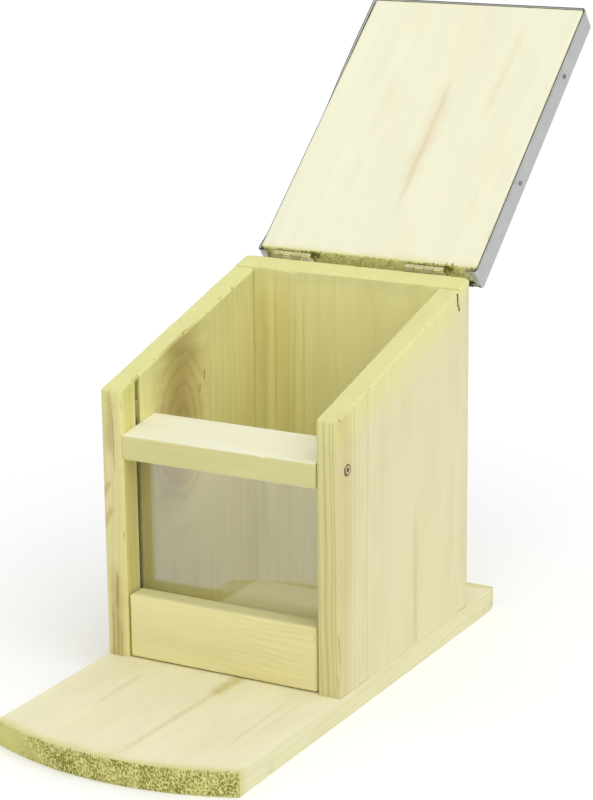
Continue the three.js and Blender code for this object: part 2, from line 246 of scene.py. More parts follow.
def under_roof(node):
    """A block as big as a node, its top sloping with the roof."""
    bm = block(*node_box(node))
    for vert in bm.verts:
        if vert.co.z > BOARD + 1:
            vert.co.z = roof_height(vert.co.y)
    return bm


def rounded(bm, items, radius, segments, affect="EDGES", **more):
    bmesh.ops.bevel(bm, geom=items, offset=radius, offset_type="OFFSET", affect=affect,
                    segments=segments, profile=0.5, material=-1, **more)


def along(bm, axis):
    """The edges that run along an axis."""
    return [e for e in bm.edges if abs((e.verts[0].co - e.verts[1].co).normalized()[axis]) > 0.9]


def within(edge, test):
    return all(test(vert.co) for vert in edge.verts)


def round_off(bm, radius, segments, where):
    """Rounds the sharp edges whose two ends pass a test."""
    edges = [e for e in bm.edges if e.calc_face_angle(0) > 1 and within(e, where)]
    rounded(bm, edges, radius, segments)


def ease(bm, radius, *spared, segments=3, sharper_than=30):
    """Rounds each edge that turns more than an angle in degrees, unless its ends pass one test."""
    sharp = math.radians(sharper_than)
    edges = [e for e in bm.edges if e.is_manifold and e.calc_face_angle() > sharp
             and not any(within(e, test) for test in spared)]
    rounded(bm, edges, radius, segments, clamp_overlap=True)


# %% Turned solids
def tagged(bm):
    for item in list(bm.verts) + list(bm.faces):
        item.tag = True
    return bm


def turn_to(direction):
    return Vector(UP).rotation_difference(Vector(direction)).to_matrix().to_4x4()


def turned(bm, profile, place, direction, steps=32):
    """Adds a closed turned solid. The profile is (radius, height) from axis to axis, and what was
    there before has to be tagged."""
    points = [bm.verts.new((radius, 0, height)) for radius, height in profile]
    edges = [bm.edges.new(pair) for pair in zip(points, points[1:])]
    bmesh.ops.spin(bm, geom=points + edges, cent=(0, 0, 0), axis=UP, angle=2 * math.pi,
                   steps=steps, use_merge=True)
    bmesh.ops.remove_doubles(bm, verts=[v for v in bm.verts if v.link_edges and not v.tag],
                             dist=1e-5)
    new = [v for v in bm.verts if not v.tag]
    bmesh.ops.transform(bm, matrix=Matrix.Translation(place) @ turn_to(direction), verts=new)
    bmesh.ops.recalc_face_normals(bm, faces=[f for f in bm.faces if not f.tag])
    return tagged(bm)


# %% Booleans
def temporary(bm, name):
    mesh = bpy.data.meshes.new(name)
    bm.to_mesh(mesh)
    bm.free()
    return in_scene(name, mesh)


def combined(bm, other, operation="DIFFERENCE", overlapping=False):
    """bm with another bmesh cut out of it or joined to it by a Boolean modifier, which has to be
    told when the parts of the other bmesh run through each other."""
    base, tool = temporary(bm, "base"), temporary(other, "tool")
    modifier = base.modifiers.new("boolean", "BOOLEAN")
    modifier.operation = operation
    modifier.solver = "EXACT"
    modifier.use_self = overlapping
    modifier.object = tool
    result = bmesh.new()
    result.from_object(base, bpy.context.evaluated_depsgraph_get())
    for thing in (base, tool):
        mesh = thing.data
        bpy.data.objects.remove(thing)
        bpy.data.meshes.remove(mesh)
    return result


# %% Slices
def with_corners(faces):
    """Faces with their edges and vertices, each once and always in the same order."""
    return list(dict.fromkeys(item for f in faces for item in (f, *f.edges, *f.verts)))


def cut_through(bm, geom, axis, place):
    """Cuts across an axis, and gives back the faces on both sides of the cut."""
    normal = Vector(i == axis for i in range(3))
    cut = bmesh.ops.bisect_plane(bm, geom=geom, dist=1e-4, plane_co=normal * place,
                                 plane_no=normal)
    return [item for item in cut["geom"] if isinstance(item, bmesh.types.BMFace)]


def split(bm, axis, place):
    cut_through(bm, bm.verts[:] + bm.edges[:] + bm.faces[:], axis, place)


def sliced(bm, where=None, **pitches):
    """Cuts bm across one axis after another at a steady pitch, only the faces whose middle passes a
    test. Each cut looks only at the faces that reach across it."""
    for name, pitch in pitches.items():
        axis = "XYZ".index(name)
        places = [v.co[axis] for v in bm.verts]
        low, high = min(places), max(places)
        count = int((high - low) / pitch)
        waiting = [f for f in bm.faces if where is None or where(f.calc_center_median())]
        waiting.sort(key=lambda f: min(v.co[axis] for v in f.verts), reverse=True)
        crossing = []
        for step in range(1, count + 1):
            place = low + (high - low) * step / (count + 1)
            while waiting and min(v.co[axis] for v in waiting[-1].verts) < place:
                crossing.append(waiting.pop())
            crossing = [f for f in crossing if max(v.co[axis] for v in f.verts) > place]
            crossing = cut_through(bm, with_corners(crossing), axis, place)


# %% [markdown]
# Wandering arrises: the noise is read at each vertex's own place, so each run gives the same shape.
# Only the vertices of the rounded arrises move far, and always into the wood, so the board keeps
# inside its CAD size.

# %% Roughness of shape
def smoothstep(low, high, value):
    t = min(max((value - low) / (high - low), 0.0), 1.0)
    return t * t * (3 - 2 * t)


FACE_DEPTH = 0.05


def wander(bm, seed, arris_depth, grain, spare=None):
    """Pushes vertices into the board, its arrises furthest. spare picks arrises that stay, because
    another board is pressed against them, and grain stretches the wandering."""
    bm.normal_update()
    shift = Vector((seed * 17.3, seed * 5.1, seed * 9.7))
    moves = []
    for vert in bm.verts:
        flat = max(abs(part) for part in vert.normal)
        arris = 0 if spare and spare(vert.co) else 1 - smoothstep(0.93, 0.995, flat)
        place = Vector([c * g for c, g in zip(vert.co, grain)])
        slow = noise.noise(place / 16 + shift) * 0.5 + 0.5
        quick = noise.noise(place / 3.2 + shift) * 0.5 + 0.5
        nick = smoothstep(0.66, 0.84, quick)
        uneven = 0.35 * slow + 0.25 * quick + 1.1 * nick
        moves.append((vert, vert.normal * -(arris * arris_depth * uneven + FACE_DEPTH * slow)))
    for vert, move in moves:
        vert.co += move


# %% [markdown]
# End grain drinks preservative, and so does the wood just behind it. Each board keeps this as a
# number at its vertices, which its finish turns into a greener colour. It could be painted by hand
# as a vertex colour; a distance in millimetres says it more exactly.

# %% Soaked ends
def soaked(bm, distance, reach, most=0.8):
    """Notes how soaked each vertex is, from its distance to the nearest sawn end."""
    layer = bm.verts.layers.float.new("soak")
    for vert in bm.verts:
        ragged = 1 + 0.5 * noise.noise(vert.co / 9)
        vert[layer] = most * (1 - smoothstep(0, reach * ragged, distance(vert.co)))
    return bm


# %% [markdown]
# Every piece ends the same way: its mesh is scaled to metres, shaded smooth with its real edges
# sharp, given its finish, tied to the body that it moves with, and set in place of its CAD node.

# %% Finishing a piece
def finished(name, bm, material, body, node, place=None, sharp=38):
    if place is not None:
        bmesh.ops.transform(bm, matrix=place, verts=bm.verts)
    bmesh.ops.scale(bm, vec=(MM, MM, MM), verts=bm.verts)
    mesh = bpy.data.meshes.new(name)
    bm.to_mesh(mesh)
    bm.free()
    mesh.shade_smooth()
    mesh.set_sharp_from_angle(angle=math.radians(sharp))
    mesh.materials.append(material)
    piece = in_scene(name, mesh)
    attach(piece, body)
    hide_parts(node)
    print(name, "with", len(mesh.vertices), "vertices")
    return piece


# %% [markdown]
# ## Treated pine
#
# Pine is a stack of growth rings about the tree's pith. A board is a flat cut through them, so the
# same rings give straight lines, long arches or end-grain arcs, depending on where the board was
# cut. So the finish isn't a picture of grain: it measures each point's distance from the pith and
# turns that into pale spring wood and thin darker summer wood. Fine fibres and slow changes of tone
# run along the grain. The copper preservative gives the wood its yellow-green cast, which is
# stronger on sawn edges and strongest on end grain, because these drink more of it.

# %% Pattern helpers
def log_space(pith, grain, across):
    """The matrix from a log, in millimetres with Z along the grain, to the CAD frame in metres."""
    z = Vector(grain).normalized()
    x = Vector(across)
    x = (x - z * x.dot(z)).normalized()
    turn = Matrix((x, z.cross(x), z)).transposed().to_4x4()
    return Matrix.Translation(Vector(pith) * MM) @ turn


def grain_noise(put, in_log, across, along, detail):
    """Noise stretched along the grain; across and along are its sizes in millimetres."""
    stretched = put("VectorMath", in_log, (1 / across, 1 / across, 1 / along), **TIMES)
    return put("TexNoise", {"Vector": stretched, "Scale": 1.0, "Detail": detail})


STREAK_FADE, STREAK_WOBBLE = 0.25, 0.5


def streak_mask(put, place, normal, start, end, faces, width):
    """A soft line from start to end, in millimetres, only where the surface faces one way."""
    start, end = Vector(start), Vector(end)
    along = end - start
    across = along.cross(Vector(faces)).normalized() / (width * MM)
    along = along / along.length_squared / MM
    from_start = put("VectorMath", place, start * MM, **LESS)
    run = put("VectorMath", from_start, along, **DOT)
    offset = put("VectorMath", from_start, across, **DOT)
    drift = put("TexNoise", {"W": run, "Scale": 5.0, "Detail": 3.0}, noise_dimensions="1D")
    drifted = put("Math", drift, STREAK_WOBBLE * 2, offset, **TIMES_PLUS)
    centred = put("Math", drifted, STREAK_WOBBLE, **LESS)
    aside = put("Math", centred, operation="ABSOLUTE")
    side = put("MapRange", aside, 1.0, 0.0, **SMOOTH)
    begin = put("MapRange", run, 0.0, STREAK_FADE, **SMOOTH)
    finish = put("MapRange", run, 1.0, 1.0 - STREAK_FADE, **SMOOTH)
    shown = put("MapRange", put("VectorMath", normal, Vector(faces), **DOT), 0.3, 0.7)
    length = put("Math", begin, finish, **TIMES)
    return put("Math", put("Math", length, side, **TIMES), shown, **TIMES)


# %% Growth rings
def growth_rings(put, in_log, to_log, turned_away, ring, warp, thin, knots):
    """Where summer wood shows, and where a knot makes it stronger."""
    # The distance from the pith, bent by slow noise, and pushed aside round each knot
    from_pith = put("VectorMath", in_log, (1, 1, 0), **TIMES)
    radius = put("VectorMath", from_pith, **LENGTH)
    bent = put("Math", grain_noise(put, in_log, 26, 150, 2), warp * 4, radius, **TIMES_PLUS)
    rings = put("Math", bent, ring, operation="DIVIDE")
    knotty = 0.0
    for centre, reach, count, stretch, strength in knots:
        centre = to_log @ (Vector(centre) * MM) / MM
        from_knot = put("VectorMath", in_log, centre, **LESS)
        squashed = put("VectorMath", from_knot, (1, 1, 1 / stretch), **TIMES)
        apart = put("VectorMath", squashed, **LENGTH)
        pushed = put("MapRange", apart, reach, 0.0, 0.0, count, **SMOOTH)
        rings = put("Math", rings, pushed, operation="ADD")
        near = put("MapRange", apart, reach, reach * 0.6, 0.0, strength, **SMOOTH)
        near = put("Math", near, put("MapRange", turned_away, 1.0, 0.0), **TIMES)
        knotty = put("Math", near, knotty, **HIGHEST)
    uneven = put("TexNoise", {"W": rings, "Scale": 0.37, "Detail": 1.0}, noise_dimensions="1D")
    years = put("Math", uneven, 1.6, rings, **TIMES_PLUS)
    phase = put("Math", years, operation="FRACT")
    summer = put("Math", put("MapRange", phase, thin, 0.9, **SMOOTH),
                 put("MapRange", phase, 1.0, 0.92, **SMOOTH), **TIMES)
    return summer, knotty


# %% Pine finish
RINGS_ON_END = 0.08


def treated_pine(name, log, broad_normal, face, edge, end, late, reverse=None, ring=3.0,
                 rings_on_face=0.15, rings_on_edge=0.3, thin=0.45, fibre=0.3, warp=2.0,
                 blush="#e6d5b4", fade=None, knots=(), streaks=()):
    """Treated pine. face, edge and end are the colours of the planed, sawn and cross-cut surfaces,
    reverse that of the planed surface that looks away from broad_normal, late darkens the summer
    wood, and thin says how much of a ring is spring wood. streaks pairs the way a surface looks
    with its streaks: start, end, width, tint and strength."""
    material, put = new_material(name)
    coordinates = put("TexCoord").node
    place, normal = coordinates.outputs["Object"], coordinates.outputs["Normal"]
    to_log = log.inverted()
    in_log = put("Mapping", place, to_log.translation / MM, to_log.to_euler(), (1 / MM,) * 3)

    turned_away = put("VectorMath", normal, -Vector(broad_normal), **DOT)
    turned_away = put("MapRange", turned_away, -0.3, 0.3, **SMOOTH)
    summer, knotty = growth_rings(put, in_log, to_log, turned_away, ring, warp, thin, knots)

    # Fibres, and slow changes of tone
    fibres = grain_noise(put, in_log, 0.9, 38, 4)
    tone = grain_noise(put, in_log, 15, 110, 3)
    patches = grain_noise(put, in_log, 22, 60, 2)

    # Which cut is showing: end grain, sawn edge or planed face
    grain = log.to_3x3() @ Vector(UP)
    cuts = []
    for direction in (grain, Vector(broad_normal).normalized()):
        facing = put("VectorMath", normal, direction, **DOT)
        facing = put("Math", facing, operation="ABSOLUTE")
        cuts.append(put("MapRange", facing, 0.35, 0.85, **SMOOTH))
    is_end, is_face = cuts

    # Colour: the cut's own, a blush of resin in patches, and green where preservative soaked in
    soak = put("Attribute", attribute_name="soak", out="Fac")
    planed = put("Mix", {0: turned_away, 6: face, 7: reverse or face}, **BLEND)
    cut = put("Mix", {0: is_face, 6: edge, 7: planed}, **BLEND)
    flushed = put("MapRange", patches, 0.45, 0.72, 0.0, 0.14, **SMOOTH)
    cut = put("Mix", {0: flushed, 6: cut, 7: blush}, **TINT)
    green = put("Math", is_end, soak, **HIGHEST)
    cut = put("Mix", {0: green, 6: cut, 7: end}, **BLEND)
    shown = put("MapRange", is_face, 0.0, 1.0, rings_on_edge, rings_on_face)
    shown = put("Math", shown, knotty, **HIGHEST)
    end_share = put("MapRange", is_end, 0.0, 1.0, 1.0, RINGS_ON_END)
    shown = put("Math", shown, end_share, **TIMES)
    if fade:
        direction, start, stop, least = fade
        run = put("VectorMath", place, Vector(direction) / MM, **DOT)
        left = put("MapRange", run, start, stop, 1.0, least, **SMOOTH)
        shown = put("Math", shown, left, **TIMES)
    lined = put("Math", summer, shown, **TIMES)
    colour = put("Mix", {0: lined, 6: cut, 7: late}, **TINT)
    darkest, brightest = 1 - 0.09 * fibre, 1 + 0.07 * fibre
    fibre_shade = put("MapRange", fibres, 0.25, 0.75, darkest, brightest, **SMOOTH)
    tone_shade = put("MapRange", tone, 0.25, 0.75, 0.975, 1.02, **SMOOTH)
    shade = put("Math", fibre_shade, tone_shade, **TIMES)
    colour = put("VectorMath", colour, {"Scale": shade}, operation="SCALE")
    for faces, lines in streaks:
        for start, finish, width, tint, strength in lines:
            mask = streak_mask(put, place, normal, start, finish, faces, width)
            share = put("Math", mask, strength, **TIMES)
            colour = put("Mix", {0: share, 6: colour, 7: tint}, **TINT)

    # Pits and painted shade. The pits attribute darkens the pits cut into the mesh, partly their own
    # darker wood and partly painted shade, and also the chips and torn patches; it holds painted
    # shade in the grooves, the crack and round the screw holes. Finer pores darken the rest of the
    # end grain
    pits = put("Attribute", attribute_name="pits", out="Fac")
    pore_place = put("VectorMath", in_log, (1 / 0.7, 1 / 0.9, 1 / 3), **TIMES)
    pores = put("TexNoise", {"Vector": pore_place, "Scale": 1.0, "Detail": 2.0, "Roughness": 0.7})
    pore_depth = put("MapRange", pores, 0.5, 0.78, 0.0, 0.2, **SMOOTH)
    fine_pores = put("Math", pore_depth, is_end, **TIMES)
    sunk = put("Math", fine_pores, pits, **HIGHEST)
    for shallow, tint in enumerate(("#9c9e56", "#8c7f58")):
        share = put("MapRange", sunk, shallow, shallow + 1.0, **SMOOTH)
        colour = put("Mix", {0: share, 6: colour, 7: tint}, **TINT)

    # Paler on the torn fibres between pits: partly their own colour, partly a painted highlight on
    # the lit crests
    frayed_and_crest_highlight = put("MapRange", pits, 0.0, -1.0, 0.0, 0.7)
    colour = put("Mix", {0: frayed_and_crest_highlight, 6: colour, 7: "#ebe7b4"}, **BLEND)

    # Relief in millimetres: raised summer wood, fibres and pores
    relief = put("Math", summer, 0.03, **TIMES)
    relief = put("Math", fibres, 0.09, relief, **TIMES_PLUS)
    relief = put("Math", fine_pores, -0.4, relief, **TIMES_PLUS)
    bump = put("Bump", {"Height": relief, "Strength": 1.0, "Distance": MM})
    roughness = put("MapRange", fibres, 0.3, 0.7, 0.62, 0.78, **SMOOTH)
    shader = put("BsdfPrincipled", {
        "Base Color": colour, "Roughness": roughness, "Normal": bump, "IOR": 1.45,
        "Specular IOR Level": 0.35})
    put("OutputMaterial", shader)
    return material


# %% [markdown]
# ## Base plank
#
# The plank runs under everything. Its front end was sawn to a shallow bow and left rough: torn end
# grain with open pits. They are cut into the mesh, and each vertex remembers its pit in an
# attribute that the finish reads to darken it. A texture alone would leave the outline smooth.
# Screws come up through the plank from below, so this step also makes the helpers for their holes.

# %% Pits in end grain
PIT_WIDTH, PIT_HEIGHT = 0.7, 1.25


def pits_and_shade_layer(bm):
    return bm.verts.layers.float.get("pits") or bm.verts.layers.float.new("pits")


def pitted(bm, towards, where, seed, depth=0.5, most=1.0, sound=(-999, -998)):
    """Sinks pits into faces that look in one direction and notes their depth in an attribute, where
    the torn fibres between pits are negative. sound is where sound wood turns into pitted wood."""
    layer = pits_and_shade_layer(bm)
    bm.normal_update()
    towards = Vector(towards).normalized()
    across = Vector(UP).cross(towards).normalized()
    moves = []
    for vert in bm.verts:
        facing = vert.normal.dot(towards)
        if facing > 0.35 and where(vert.co):
            u, v = vert.co.dot(across), vert.co.z
            bed = Vector((u / PIT_WIDTH + v * 0.08, v / PIT_HEIGHT, seed * 3.7))
            ragged = 0.3 * noise.noise(bed * 1.9)
            coarse = noise.noise(Vector((u / 7, v / 9, seed))) * 0.5 + 0.5
            nearest = noise.voronoi(bed)[0][0]
            torn_here = smoothstep(0.35, 0.75, facing) * smoothstep(*sound, u)
            pit = torn_here * (1 - smoothstep(0.15, 0.72, nearest + ragged + 0.5 * (0.5 - coarse)))
            fibre = torn_here * smoothstep(0.62, 0.95, nearest + 1.4 * ragged)
            vert[layer] = max(vert[layer], most * pit) or -fibre
            moves.append((vert, towards * -(depth * pit + 0.25 * (1 - coarse))))
    for vert, move in moves:
        vert.co += move


# %% Chips broken out of an arris
def chipped(bm, into, places, dark=1.0):
    """Breaks small chips out of an arris. Each place is a point and a chip's half length."""
    layer = pits_and_shade_layer(bm)
    into = Vector(into).normalized()
    for vert in bm.verts:
        for *point, size in places:
            ragged = 0.45 * noise.noise(vert.co / 0.9)
            chip = 1 - smoothstep(0.45, 1.0, (vert.co - Vector(point)).length / size + ragged)
            if chip > 0:
                vert.co += into * 0.45 * size * chip
                vert[layer] = max(vert[layer], dark * chip)


# %% Screw places
def head_of(name):
    """The middle of a screw's head, from its CAD node's box, and the way that it looks."""
    if name.startswith("top_rail_screw"):
        out = Vector((1 if name.endswith("right") else -1, 0, 0))
    else:
        out = Vector(DOWN if "_base_screw_" in name else REAR)
    low, high = node_box(name)
    place = (low + high) / 2
    for axis in range(3):
        if out[axis]:
            place[axis] = high[axis] if out[axis] > 0 else low[axis]
    return place, out


HOLE_PLAY = 0.3


def screw_hole(bm, place, out, head=2.4, shank=1.5, length=25.0, head_depth=2.0):
    """Adds the hole that a countersunk screw sits in to a cutter."""
    bottom, shank, wide = -length - HOLE_PLAY, shank + HOLE_PLAY, head + HOLE_PLAY
    return turned(bm, [
        (0, bottom), (shank, bottom), (shank, -head_depth - HOLE_PLAY), (wide, -HOLE_PLAY),
        (wide, 2), (0, 2)], place, out)


def screw_holes(*words):
    """A cutter for the holes of the screws whose names hold one of some words."""
    cutter = bmesh.new()
    names = sorted(name for name in frame["nodes"] if any(word in name for word in words))
    for name in names:
        screw_hole(cutter, *head_of(name))
    print(len(names), "screw holes")
    return cutter


# %% Base plank
PLANK_CROWN = 14.0
PLANK_FRONT, PLANK_REAR = -95.0, 175.5
# Chips in the top arris of the bowed end: x and half length
PLANK_CHIPS = ((-61.5, 1.7), (-48, 0.8), (-27, 1.0), (-21, 1.2), (-13, 1.1), (8, 0.8), (33, 0.9),
               (52, 0.8))

low, high = node_box("base_plank")
bm = block((low.x, PLANK_FRONT, low.z), (high.x, high.y, high.z))
sliced(bm, X=3.4)
bow_radius = (HALF_WIDTH ** 2 + PLANK_CROWN ** 2) / (2 * PLANK_CROWN)


def bow_front(x):
    """Where the bowed front end lies at some x."""
    return PLANK_FRONT - math.sqrt(bow_radius ** 2 - x ** 2) + bow_radius - PLANK_CROWN


for vert in bm.verts:
    if vert.co.y < PLANK_FRONT + 1:
        vert.co.y = bow_front(vert.co.x)
# Worn corners: under the rear edge, then both rear uprights and the front left one
round_off(bm, 2.6, 5, lambda p: p.y > high.y - NEAR and p.z < NEAR)
for sign in (1, -1):
    round_off(bm, 1.8, 4, lambda p: p.y > high.y - 4 and sign * p.x > HALF_WIDTH - NEAR)
round_off(bm, 2.4, 5, lambda p: p.y < PLANK_FRONT + NEAR and p.x < NEAR - HALF_WIDTH)
ease(bm, 0.9, sharper_than=40)
bm = combined(bm, screw_holes("_base_screw_"))
sliced(bm, Y=3.0)
sliced(bm, lambda p: p.y < PLANK_FRONT + 0.5, Z=0.34)
sliced(bm, lambda p: p.y < PLANK_FRONT + 3, X=0.32)
wander(bm, seed=1, arris_depth=0.45, grain=(1, 0.4, 1))
pitted(bm, FRONT, lambda p: p.y < PLANK_FRONT + 2, seed=1, sound=(-60, -28))
chips = [(x, bow_front(x), high.z - 0.2, size) for x, size in PLANK_CHIPS]
chipped(bm, (0, 1, -1), chips, dark=0.4)
bow_centre = Vector((0, PLANK_FRONT - PLANK_CROWN + bow_radius))
soaked(bm, lambda p: min(bow_radius - (p.xy - bow_centre).length, PLANK_REAR - p.y), reach=8)

plank_pine = treated_pine(
    "treated_pine_base_plank",
    log_space((12, 0, -58), (0.0, 1, 0.015), RIGHT), UP,
    face="#eae5c0", edge="#e0dcb2", end="#cfcb7c", late="#d3c898",
    ring=3.4, rings_on_face=0.04, rings_on_edge=0.12, fibre=0.15, warp=3.0,
    streaks=[(UP, [
        ((9.4, 0, 12), (6.0, -112, 12), 3.0, "#e2dcbc", 0.5),
        ((9.4, 6, 12), (9.0, -26, 12), 6.5, "#dcd7a8", 0.75),
        ((-35.4, -10, 12), (-34.0, -66, 12), 3.2, "#e8e0c6", 0.45),
        ((44, 0, 12), (46, -80, 12), 1.4, "#ddd3a6", 0.25),
        ((52, 0, 12), (50, -60, 12), 1.3, "#ddd3a6", 0.2)])],
)
finished("feeder_base_plank", bm, plank_pine, "box", "base_plank")

# %% [markdown]
# ## Side panels
#
# Both sides are one board each, with the grain upright, a sloping top and a narrow saw groove that
# holds the window and runs out towards the top. The groove and the screw's hole are cut before the
# board is sliced. The dark crack in the right side, beside the back, is a thin wedge cut out of it.
# The inside of the groove, the crack and the wood round the screw's hole are also painted darker,
# as painted shade.

# %% Groove and crack in the side panels
INNER = HALF_WIDTH - BOARD
GROOVE_DEPTH, GROOVE_RUN_OUT, GROOVE_FULL_TO = 4.0, 0.7, 118.0
GROOVE_FRONT, GROOVE_REAR = 12.5, 16.7
TOP_SCREW_HOLE = 2.65
# Chips in the sloping arrises: x, y and half length
CHIPS = {-1: ((-53.1, 108, 1.5), (-53.0, 81, 1.2), (-53.1, 60, 1.4), (-57.5, 0.8, 0.8)),
         1: ((64.9, 92, 1.0), (64.8, 2.6, 1.4), (53.2, 21, 1.2), (53.1, 79, 0.9))}
# The crack: y, z and width at its foot and at its head, just under the arris
CRACK_FOOT = (128.8, 172.6, 0.3)
CRACK_HEAD = (126.4, 181.4, 1.6)
CRACK_BED, CRACK_LIP = HALF_WIDTH - 1.8, HALF_WIDTH - 0.3


def in_crack(place):
    share = (place.z - CRACK_FOOT[1]) / (CRACK_HEAD[1] - CRACK_FOOT[1])
    start, width = (CRACK_FOOT[i] + (CRACK_HEAD[i] - CRACK_FOOT[i]) * share for i in (0, 2))
    return (0 <= share <= 1 and -0.2 < place.y - start < width + 0.2
            and place.z < roof_height(place.y) - 0.8
            and CRACK_BED - 0.2 < place.x < HALF_WIDTH - 0.15)


def in_groove(place):
    return (0.6 < abs(place.x) - INNER < GROOVE_DEPTH + 0.5
            and GROOVE_FRONT - 0.5 < place.y < GROOVE_REAR + 0.5
            and place.z < roof_height(place.y) - 2)


def at_foot(place):
    return place.z < BOARD + NEAR


def at_back(place):
    return place.y > DEPTH - BOARD - NEAR


def near_top(place):
    return place.z > roof_height(place.y) - 3


# %% Side panels
def side_panel(side, sign):
    """The board of one side, where sign is 1 for the right one and -1 for the left one."""
    bm = under_roof(side + "_side_panel")
    ease(bm, 1.3, lambda p: at_back(p) and abs(p.x) > HALF_WIDTH - 1, at_foot)
    if sign > 0:
        crack = block((CRACK_BED, 0, CRACK_FOOT[1]), (HALF_WIDTH + 2, 1, CRACK_HEAD[1]))
        for vert in crack.verts:
            start, _, width = CRACK_HEAD if vert.co.z > CRACK_FOOT[1] + 1 else CRACK_FOOT
            vert.co.y = start + width * vert.co.y
        split(crack, 0, CRACK_LIP)
        bm = combined(bm, crack)
    xs = sorted((sign * (INNER - 2), sign * (INNER + GROOVE_DEPTH)))
    cutter = block((xs[0], GROOVE_FRONT, BOARD - 2),
                   (xs[1], GROOVE_REAR, roof_height(GROOVE_REAR) + 3))
    split(cutter, 2, GROOVE_FULL_TO)
    for vert in cutter.verts:
        if vert.co.z > GROOVE_FULL_TO + 1 and sign * vert.co.x > INNER:
            vert.co.x = sign * (INNER + GROOVE_RUN_OUT)
    middle, out = head_of("top_rail_screw_" + side)
    screw_hole(tagged(cutter), middle, out, head=TOP_SCREW_HOLE)
    bm = combined(bm, cutter)
    sliced(bm, Z=1.8, Y=1.8)
    sliced(bm, lambda p: near_top(p) or p.y < 2, X=1.5)
    sliced(bm, near_top, Y=0.8)
    wander(bm, seed=2 + sign, arris_depth=0.95, grain=(1, 1, 0.4),
           spare=lambda p: at_back(p) and p.z < roof_height(p.y) - 2 or at_foot(p))
    # Painted shade, kept in the pits attribute: the inside of the groove, the crack and the wood
    # round the screw's hole are darkened
    layer = pits_and_shade_layer(bm)
    for vert in bm.verts:
        if in_groove(vert.co):
            vert[layer] = 0.8
        if sign > 0 and in_crack(vert.co):
            vert[layer] = 1.4
        from_screw = math.hypot(vert.co.y - middle.y, vert.co.z - middle.z)
        if from_screw < TOP_SCREW_HOLE + 0.4 and abs(vert.co.x) < HALF_WIDTH - 0.15:
            vert[layer] = 1.8
    chips = [(x, y, roof_height(y) - 0.4, size) for x, y, size in CHIPS[sign]]
    chipped(bm, DOWN, chips, dark=0.6)
    return soaked(bm, below_roof, reach=27, most=0.95)


# %% Right side
right_pine = treated_pine(
    "treated_pine_right_side",
    log_space((12, 62, 90), (0.0, 0.006, 1), RIGHT), RIGHT,
    face="#dcd6ac", edge="#d8d194", end="#dcda98", late="#c0b078",
    ring=1.7, rings_on_face=0.2, rings_on_edge=0.38, thin=0.5, fibre=0.22, warp=1.3,
    fade=(REAR, 18, 60, 0.12),
    streaks=[(RIGHT, [
        ((65, 80, 92), (65, 81, -10), 4, "#e8e4d8", 0.5),
        ((65, 122, 106), (65, 121, 40), 6, "#f6e8dc", 0.35),
        ((65, 5, -30), (65, 6, 200), 17, "#f4ebd8", 0.9)])],
)
finished("feeder_right_side", side_panel("right", 1), right_pine, "box",
         "right_side_panel")

# %% Left side
left_pine = treated_pine(
    "treated_pine_left_side",
    log_space((-118, 55, 90), (0.0, -0.02, 1), RIGHT), RIGHT,
    # The inner face is paler and yellower than reverse, the outer face: partly the wood's own tone
    # and partly painted light for the inside of the box, where less light falls
    face="#ece59f", edge="#dcd599", end="#dedc96", late="#b39a6e", reverse="#dfd9ae",
    ring=3.4, rings_on_face=0.07, rings_on_edge=0.12, fibre=0.3, warp=2.4,
    knots=[((-53, 56, 116), 32, 5, 1.9, 0.2)],
    streaks=[
        (RIGHT, [
            ((-53, 50, 66), (-53, 54, 186), 30, "#bfa987", 0.75),
            ((-53, 6, -40), (-53, 6, 230), 8.5, "#eee9c4", 0.7),
            ((-53, 77.5, 135), (-53, 78, 141), 0.9, "#6d6a44", 0.8),
            ((-53, 73, 129), (-53, 73.6, 135), 0.8, "#6d6a44", 0.7)]),
        (FRONT, [
            ((-59.8, 0, 112), (-60.2, 0, 152), 4.2, "#ddd0c2", 0.7),
            ((-57.6, 0, 104), (-58.6, 0, 142), 0.8, "#a89878", 0.5),
            ((-60.6, 0, 103), (-65.5, 0, 92), 2.2, "#d6cbb8", 0.65),
            ((-59.6, 0, 90), (-65.5, 0, 76), 2.4, "#d6cbb8", 0.65),
            ((-59.6, 0, -16), (-58.8, 0, 66), 5.4, "#dfcfb8", 0.75),
            ((-58.8, 0, 34), (-58.0, 0, 58), 1.4, "#cdba98", 0.6),
            ((-61.6, 0, -4), (-61.0, 0, 44), 0.9, "#cdb594", 0.6),
            ((-58.9, 0, -4), (-58.6, 0, 38), 0.8, "#cdb594", 0.6),
            ((-56.4, 0, -4), (-56.6, 0, 34), 0.8, "#cdb594", 0.5)])],
)
finished("feeder_left_side", side_panel("left", -1), left_pine, "box",
         "left_side_panel")

# %% [markdown]
# ## Back panel
#
# The back is one upright board over the rear edges of both sides, screwed on from behind. Its top
# rear arris, which the hinges are screwed over, stays almost sharp.

# %% Back panel
def at_joint(place):
    return place.y < DEPTH - BOARD + NEAR


def under_hinges(place):
    return place.y > DEPTH - NEAR and place.z > roof_height(DEPTH) - NEAR


